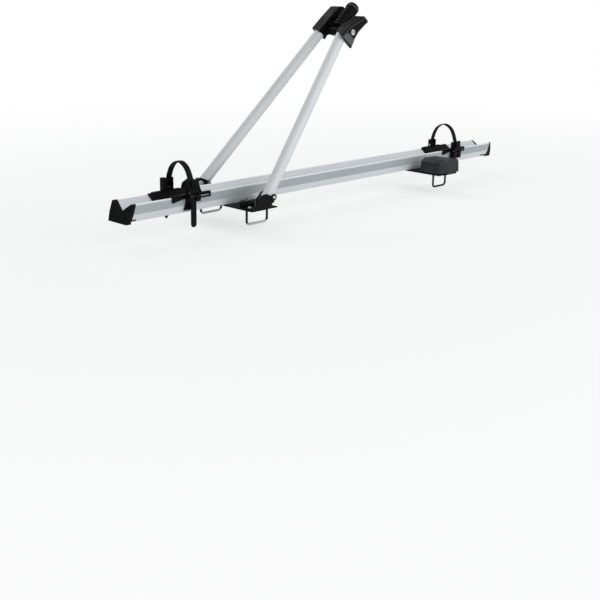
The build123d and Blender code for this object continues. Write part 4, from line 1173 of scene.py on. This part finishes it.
@dataclass
class WheelTray:
    """One wheel tray with its buckle, lever and strap."""

    dresser: Dresser
    end: End
    middle: float
    top: float
    tail: float
    sink: float = 0.0
    strap_wide: float = 16 * MM
    strap_thick: float = 2.4 * MM
    strap_bend: float = 76 * MM
    strap_arch: float = 40 * MM
    strap_out: float = 49.2 * MM
    strap_steps: int = 12
    tip_share: float = 0.94
    tip_segments: int = 6
    teeth_start: float = 40 * MM
    teeth_gap: float = 3 * MM
    tooth_pitch: float = 3.2 * MM
    tooth_edge: float = 0.25 * MM
    tooth_high: float = 0.9 * MM
    channel_edge: float = 2.2 * MM
    channel_deep: float = 0.5 * MM
    rib_half: float = 0.8 * MM
    rib_soft: float = 0.4 * MM
    flange_ribs: tuple[float, ...] = mm(44.6, 39.4)
    flange_ribs_fore: float = 54 * MM
    flange_ribs_aft: float = 23 * MM
    flange_ribs_out: float = 41.2 * MM
    flange_ribs_in: float = 39.8 * MM
    trough_ribs: tuple[float, ...] = mm(7.0, 14.0, 21.0, 28.0)
    trough_ribs_fore: float = 70 * MM
    trough_ribs_aft: float = 54 * MM
    trough_rib_sink: float = 1.0 * MM
    trough_rib_high: float = 1.4 * MM
    trough_z: float = 24.9 * MM
    trough_slope: float = 0.697
    boss_place: Place = mm(16.8, 53.9, 54.0)
    boss_bore: float = 2.1 * MM
    boss_radius: float = 4.0 * MM
    boss_thick: float = 1.2 * MM
    boss_soft: float = 0.3 * MM
    rivet_places: tuple[float, ...] = mm(-12.0, -6.0)
    rivet_seat: float = 56.1 * MM
    rivet_z: float = 44.6 * MM
    rivet_radius: float = 2.3 * MM
    rivet_high: float = 1.5 * MM
    grips: tuple[float, ...] = mm(60.0, 63.2, 66.4, 69.6, 72.8)
    grip_half: float = 8.5 * MM
    grip_in: float = 56.0 * MM
    grip_out: float = 57.3 * MM
    grip_rise: float = 0.7 * MM

    @property
    def tag(self) -> str:
        """The tray's word in the pieces' names."""
        return self.end.value

    def route(self) -> list[tuple[float, float]]:
        """Work out the strap's middle line from its anchor pin to its tail.

        Returns:
            Its points' Y and Z.
        """
        lift = (self.top - self.strap_bend) / self.strap_arch
        shoulder = self.strap_bend + 10 * MM * lift
        haunch = self.strap_bend + 28 * MM * lift
        crown = self.top - 2.7 * MM
        out, slot = -self.strap_out, 50 * MM - self.sink
        return [
            mm(42.6, 51.6), mm(41.9, 47.0), mm(45.8, 44.7), mm(49.6, 47.0), mm(49.4, 51.5),
            mm(46.6, 57.5), mm(42.6, 70.0), (38.0 * MM, shoulder), (27.5 * MM, haunch),
            (12.0 * MM, crown), (0.0, self.top), (-12.0 * MM, crown), (-27.5 * MM, haunch),
            (-37.5 * MM, shoulder), mm(-41.8, 73.5), (-48.3 * MM, 65.5 * MM - self.sink),
            (out, 60 * MM - self.sink), (out, slot), (out, (slot + self.tail) / 2), (out, self.tail),
        ]

    def bend_line(self) -> tuple[bpy.types.Object, float]:
        """Lay the curve that bends the strap along its route.

        Returns:
            The curve's object and its length.
        """
        points = self.route()
        line = bpy.data.curves.new("strap route", "CURVE")
        line.dimensions = "2D"
        line.resolution_u = self.strap_steps
        spline = line.splines.new("NURBS")
        spline.points.add(len(points) - 1)
        for spot, (y, z) in zip(spline.points, points):
            spot.co = (y, z, 0.0, 1.0)
        spline.order_u = 3
        spline.use_endpoint_u = True
        line.use_stretch = True
        line.use_deform_bounds = True
        route = bpy.data.objects.new("strap route", line)
        bpy.context.scene.collection.objects.link(route)
        return route, spline.calc_length()

    def flat_strap(self, length: float) -> bpy.types.Object:
        """Mould the strap flat along X, with its tip, its channel and its teeth.

        Args:
            length: Its length.

        Returns:
            The object.
        """
        half = self.strap_wide / 2
        ribbed = length - half
        cuts = round(ribbed / self.tooth_pitch) * 2
        step = ribbed / (cuts + 1)
        clear_selection()
        bpy.ops.mesh.primitive_cube_add(size=1.0, location=(ribbed / 2, 0, 0))
        band = bpy.context.object
        band.scale = (ribbed, self.strap_thick, self.strap_wide)
        fix_place(band)
        pick(band, Pick.EDGES, lambda spot, way: abs(way.x) > FACING)
        bpy.ops.mesh.subdivide(number_cuts=cuts)
        pick(band, Pick.FACES, lambda spot, way: way.x > FACING and spot.x > ribbed - step / 2)
        bpy.ops.mesh.extrude_region_move(TRANSFORM_OT_translate={"value": (half, 0, 0)})
        pick(band, Pick.EDGES, lambda spot, way: spot.x > length - step / 2 and abs(way.y) > FACING)
        bpy.ops.mesh.bevel(offset=half * self.tip_share, segments=self.tip_segments)
        pick(band, Pick.FACES, lambda spot, way: way.y < -FACING and self.teeth_start < spot.x < ribbed)
        bpy.ops.mesh.inset(thickness=self.channel_edge, depth=-self.channel_deep)
        first, last = self.teeth_start + self.teeth_gap, ribbed - self.teeth_gap
        pick(band, Pick.FACES, lambda spot, way: (
            way.y < -FACING and abs(spot.z) < half - self.channel_edge and first < spot.x < last
            and int(spot.x / step) % 2 == 0
        ))
        bpy.ops.mesh.inset(thickness=self.tooth_edge, depth=self.tooth_high, use_individual=True)
        bpy.ops.object.mode_set(mode="OBJECT")
        return band

    def strap(self) -> None:
        """Mould the strap flat, then bend it along its route."""
        route, length = self.bend_line()
        band = self.flat_strap(length)
        modify(band, "CURVE", object=route, deform_axis="POS_X")
        bpy.data.objects.remove(route)
        band.data.transform(Matrix(((0, 0, 1, self.middle), (1, 0, 0, 0), (0, 1, 0, 0), (0, 0, 0, 1))))
        settle(band, f"{self.tag}_ratchet_strap", f"{self.tag}_tray", Finish.STRAP)
        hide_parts(f"{self.tag}_wheel_strap")

    def tray_ribs(self) -> None:
        """Mould the ribs on the near flange and on the trough's two walls."""
        middle, half = self.middle, self.rib_half
        ribs = [
            block((middle - self.flange_ribs_fore, -self.flange_ribs_out, z - half),
                  (middle - self.flange_ribs_aft, -self.flange_ribs_in, z + half), self.rib_soft)
            for z in self.flange_ribs
        ]
        for side in Side:
            for out in self.trough_ribs:
                y, z = side.value * out, self.trough_z + self.trough_slope * out
                ribs.append(block(
                    (middle - self.trough_ribs_fore, y - half, z - self.trough_rib_sink),
                    (middle + self.trough_ribs_aft, y + half, z + self.trough_rib_high), self.rib_soft,
                ))
        settle(join(ribs), f"{self.tag}_tray_ribs", f"{self.tag}_tray", Finish.PLASTIC)

    def buckle_details(self) -> None:
        """Add the bosses round the lever pin, the rivets and the lever's grip ribs."""
        middle, sink = self.middle, self.sink
        x, y, z = self.boss_place
        bosses = [
            ring((middle + sign * x, -y, z - sink), (sign, 0, 0), self.boss_bore, self.boss_radius,
                 self.boss_thick, self.boss_soft)
            for sign in (-1, 1)
        ]
        settle(join(bosses), f"{self.tag}_pin_bosses", f"{self.tag}_tray", Finish.PLASTIC)
        rivets = [
            dome((middle + x, -self.rivet_seat, self.rivet_z - sink), (0, -1, 0), self.rivet_radius,
                 self.rivet_high)
            for x in self.rivet_places
        ]
        settle(join(rivets), f"{self.tag}_rivets", f"{self.tag}_tray", Finish.DARK_ROD)
        grips = [
            block((middle - self.grip_half, -self.grip_out, z - self.grip_rise - sink),
                  (middle + self.grip_half, -self.grip_in, z + self.grip_rise - sink), self.rib_soft)
            for z in self.grips
        ]
        settle(join(grips), f"{self.tag}_lever_grip", f"{self.tag}_lever", Finish.PLASTIC)

    def build(self) -> None:
        """Dress the tray and build what the frame doesn't hold."""
        tag = self.tag
        self.dresser.dress(Finish.PLASTIC, f"{tag}_wheel_tray", f"{tag}_buckle", f"{tag}_buckle_lever")
        self.dresser.dress(Finish.ZINC, f"{tag}_lever_pin", f"{tag}_anchor_pin", f"{tag}_tray_screw")
        self.strap()
        self.tray_ribs()
        self.buckle_details()


# Studio

@dataclass(frozen=True)
class Lamp:
    """One soft square lamp, with its place and side in metres and its power in watts."""

    name: str
    place: Place
    power: float
    size: float

    def hang(self, aim: Place) -> None:
        """Hang the lamp so that it faces a place.

        Args:
            aim: The place.
        """
        data = bpy.data.lights.new(self.name, "AREA")
        data.energy = self.power
        data.size = self.size
        lamp = bpy.data.objects.new(self.name, data)
        bpy.context.scene.collection.objects.link(lamp)
        lamp.location = self.place
        lamp.rotation_euler = (Vector(aim) - Vector(self.place)).to_track_quat("-Z", "Y").to_euler()


@dataclass
class Studio:
    """The floor, the lamps, the world and the camera."""

    floor_z: float
    eye: Place = (-1.7033, -1.8324, 0.5298)
    azimuth: float = math.radians(46.90)
    elevation: float = math.radians(17.58)
    roll: float = math.radians(1.15)
    lens: float = 59.95
    sensor: float = 36.0
    clip: tuple[float, float] = (0.05, 60.0)
    aim: Place = (0.35, 0.0, 0.15)
    lamps: tuple[Lamp, ...] = (
        Lamp("key lamp", (1.0, -3.0, 1.8), 62.0, 3.4), Lamp("fill lamp", (-2.4, -0.8, 1.6), 7.0, 1.8),
        Lamp("back lamp", (0.6, 2.4, 2.2), 30.0, 2.0),
    )
    sky: Rgba = (0.94, 0.97, 1.0, 1.0)
    sky_strength: float = 0.42
    left_share: float = 0.4
    back_share: float = 0.35
    left_slope: tuple[float, float] = (-0.9, 0.6)
    back_slope: tuple[float, float] = (0.1, 0.95)
    floor_side: float = 60.0
    floor_colour: Rgba = (0.93, 0.93, 0.93, 1.0)
    floor_roughness: float = 0.9
    floor_specular: float = 0.1
    glow: float = 0.7
    glow_middle: Place = (0.3, -0.1, 0.0)
    glow_slope: tuple[float, float] = (0.9, 2.6)

    def camera(self) -> None:
        """Set the camera at the photograph's place and turn."""
        cos, sin = math.cos(self.elevation), math.sin(self.elevation)
        ahead = Vector((math.sin(self.azimuth) * cos, math.cos(self.azimuth) * cos, -sin))
        right = Vector((math.cos(self.azimuth), -math.sin(self.azimuth), 0.0))
        up = right.cross(ahead)
        across = right * math.cos(self.roll) + up * math.sin(self.roll)
        upward = up * math.cos(self.roll) - right * math.sin(self.roll)
        turn = Matrix((across, upward, -ahead)).transposed().to_4x4()
        data = bpy.data.cameras.new("camera")
        data.lens = self.lens
        data.sensor_width = self.sensor
        data.clip_start, data.clip_end = self.clip
        camera = bpy.data.objects.new("camera", data)
        bpy.context.scene.collection.objects.link(camera)
        camera.matrix_world = Matrix.Translation(self.eye) @ turn
        bpy.context.scene.camera = camera

    def dimmed(self, tree: bpy.types.NodeTree) -> bpy.types.NodeSocket:
        """Make the white darker on the photograph's left and behind the carrier.

        Args:
            tree: The world's tree.

        Returns:
            The socket that gives the white's strength in each direction.
        """
        where = tree.nodes.new("ShaderNodeTexCoord").outputs["Generated"]
        shade = tree.nodes.new("ShaderNodeMath")
        shade.operation = "MULTIPLY"
        cos, sin = math.cos(self.azimuth), math.sin(self.azimuth)
        slopes = (
            ((cos, -sin, 0.0), self.left_slope, (self.left_share, 1.0)),
            ((sin, cos, 0.0), self.back_slope, (1.0, self.back_share)),
        )
        for socket, (way, ends, strengths) in zip(shade.inputs, slopes):
            dot = tree.nodes.new("ShaderNodeVectorMath")
            dot.operation = "DOT_PRODUCT"
            dot.inputs[1].default_value = way
            tree.links.new(where, dot.inputs[0])
            slope = ranged(tree, dot.outputs["Value"], *ends)
            slope.inputs["To Min"].default_value, slope.inputs["To Max"].default_value = strengths
            tree.links.new(slope.outputs["Result"], socket)
        return shade.outputs["Value"]

    def world(self) -> None:
        """Light softly from all round, and show plain white, dimmed only where a reflection sees it."""
        world = bpy.data.worlds.new("studio")
        bpy.context.scene.world = world
        world.use_nodes = True
        world.cycles.sampling_method = "NONE"
        tree = world.node_tree
        soft = tree.nodes["Background"]
        soft.inputs["Color"].default_value = self.sky
        soft.inputs["Strength"].default_value = self.sky_strength
        white = tree.nodes.new("ShaderNodeBackground")
        white.inputs["Color"].default_value = WHITE
        rays = tree.nodes.new("ShaderNodeLightPath")
        strength = tree.nodes.new("ShaderNodeMath")
        strength.operation = "MAXIMUM"
        tree.links.new(self.dimmed(tree), strength.inputs[0])
        tree.links.new(rays.outputs["Is Camera Ray"], strength.inputs[1])
        tree.links.new(strength.outputs["Value"], white.inputs["Strength"])
        mix = tree.nodes.new("ShaderNodeMixShader")
        tree.links.new(direct_rays(tree), mix.inputs["Fac"])
        tree.links.new(soft.outputs["Background"], mix.inputs[1])
        tree.links.new(white.outputs["Background"], mix.inputs[2])
        tree.links.new(mix.outputs["Shader"], tree.nodes["World Output"].inputs["Surface"])

    def floor(self) -> None:
        """Lay a plain pale floor under the carrier, which goes over into white far away."""
        clear_selection()
        bpy.ops.mesh.primitive_plane_add(size=self.floor_side, location=(0.0, 0.0, self.floor_z))
        floor = bpy.context.object
        floor.name = "studio_floor"
        sheet = Sheet("pale floor")
        sheet.shader.inputs["Base Color"].default_value = self.floor_colour
        sheet.shader.inputs["Roughness"].default_value = self.floor_roughness
        sheet.shader.inputs["Specular IOR Level"].default_value = self.floor_specular
        glow = sheet.tree.nodes.new("ShaderNodeEmission")
        glow.inputs["Color"].default_value = WHITE
        far = sheet.tree.nodes.new("ShaderNodeVectorMath")
        far.operation = "DISTANCE"
        far.inputs[1].default_value = self.glow_middle
        sheet.link(sheet.where, far.inputs[0])
        share = ranged(sheet.tree, far.outputs["Value"], *self.glow_slope)
        share.inputs["To Min"].default_value = self.glow
        mix = sheet.tree.nodes.new("ShaderNodeMixShader")
        seen = sheet.math("MULTIPLY", direct_rays(sheet.tree), share.outputs["Result"])
        sheet.link(seen, mix.inputs["Fac"])
        sheet.link(sheet.shader.outputs["BSDF"], mix.inputs[1])
        sheet.link(glow.outputs["Emission"], mix.inputs[2])
        sheet.link(mix.outputs["Shader"], sheet.tree.nodes["Material Output"].inputs["Surface"])
        sheet.material.cycles.emission_sampling = "NONE"
        floor.data.materials.append(sheet.material)
        floor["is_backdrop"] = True

    def build(self) -> None:
        """Set up the whole studio."""
        self.camera()
        self.world()
        self.floor()
        for lamp in self.lamps:
            lamp.hang(self.aim)
        bpy.context.scene.view_settings.view_transform = "Standard"


def main() -> None:
    """Load the frame, build the carrier and its studio, with the floor set under the frame's box."""
    for leftover in list(bpy.data.objects):
        bpy.data.objects.remove(leftover)
    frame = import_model()
    cad_box = [list(corner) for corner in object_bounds()]
    dresser = Dresser(frame["nodes"])
    Rail(dresser).build()
    BarClamps(dresser).build()
    Brackets(dresser).build()
    ClampHead(dresser).build()
    WheelTray(dresser, End.FRONT, middle=-175 * MM, top=121 * MM, tail=-32 * MM).build()
    WheelTray(
        dresser, End.REAR, middle=902 * MM, top=118.5 * MM, tail=24 * MM, sink=12 * MM
    ).build()
    Studio(floor_z=cad_box[0][2] - FLOOR_GAP).build()
    clear_selection()


if __name__ == "__main__":
    logging.basicConfig(level=logging.INFO, format="%(name)s: %(message)s")
    main()
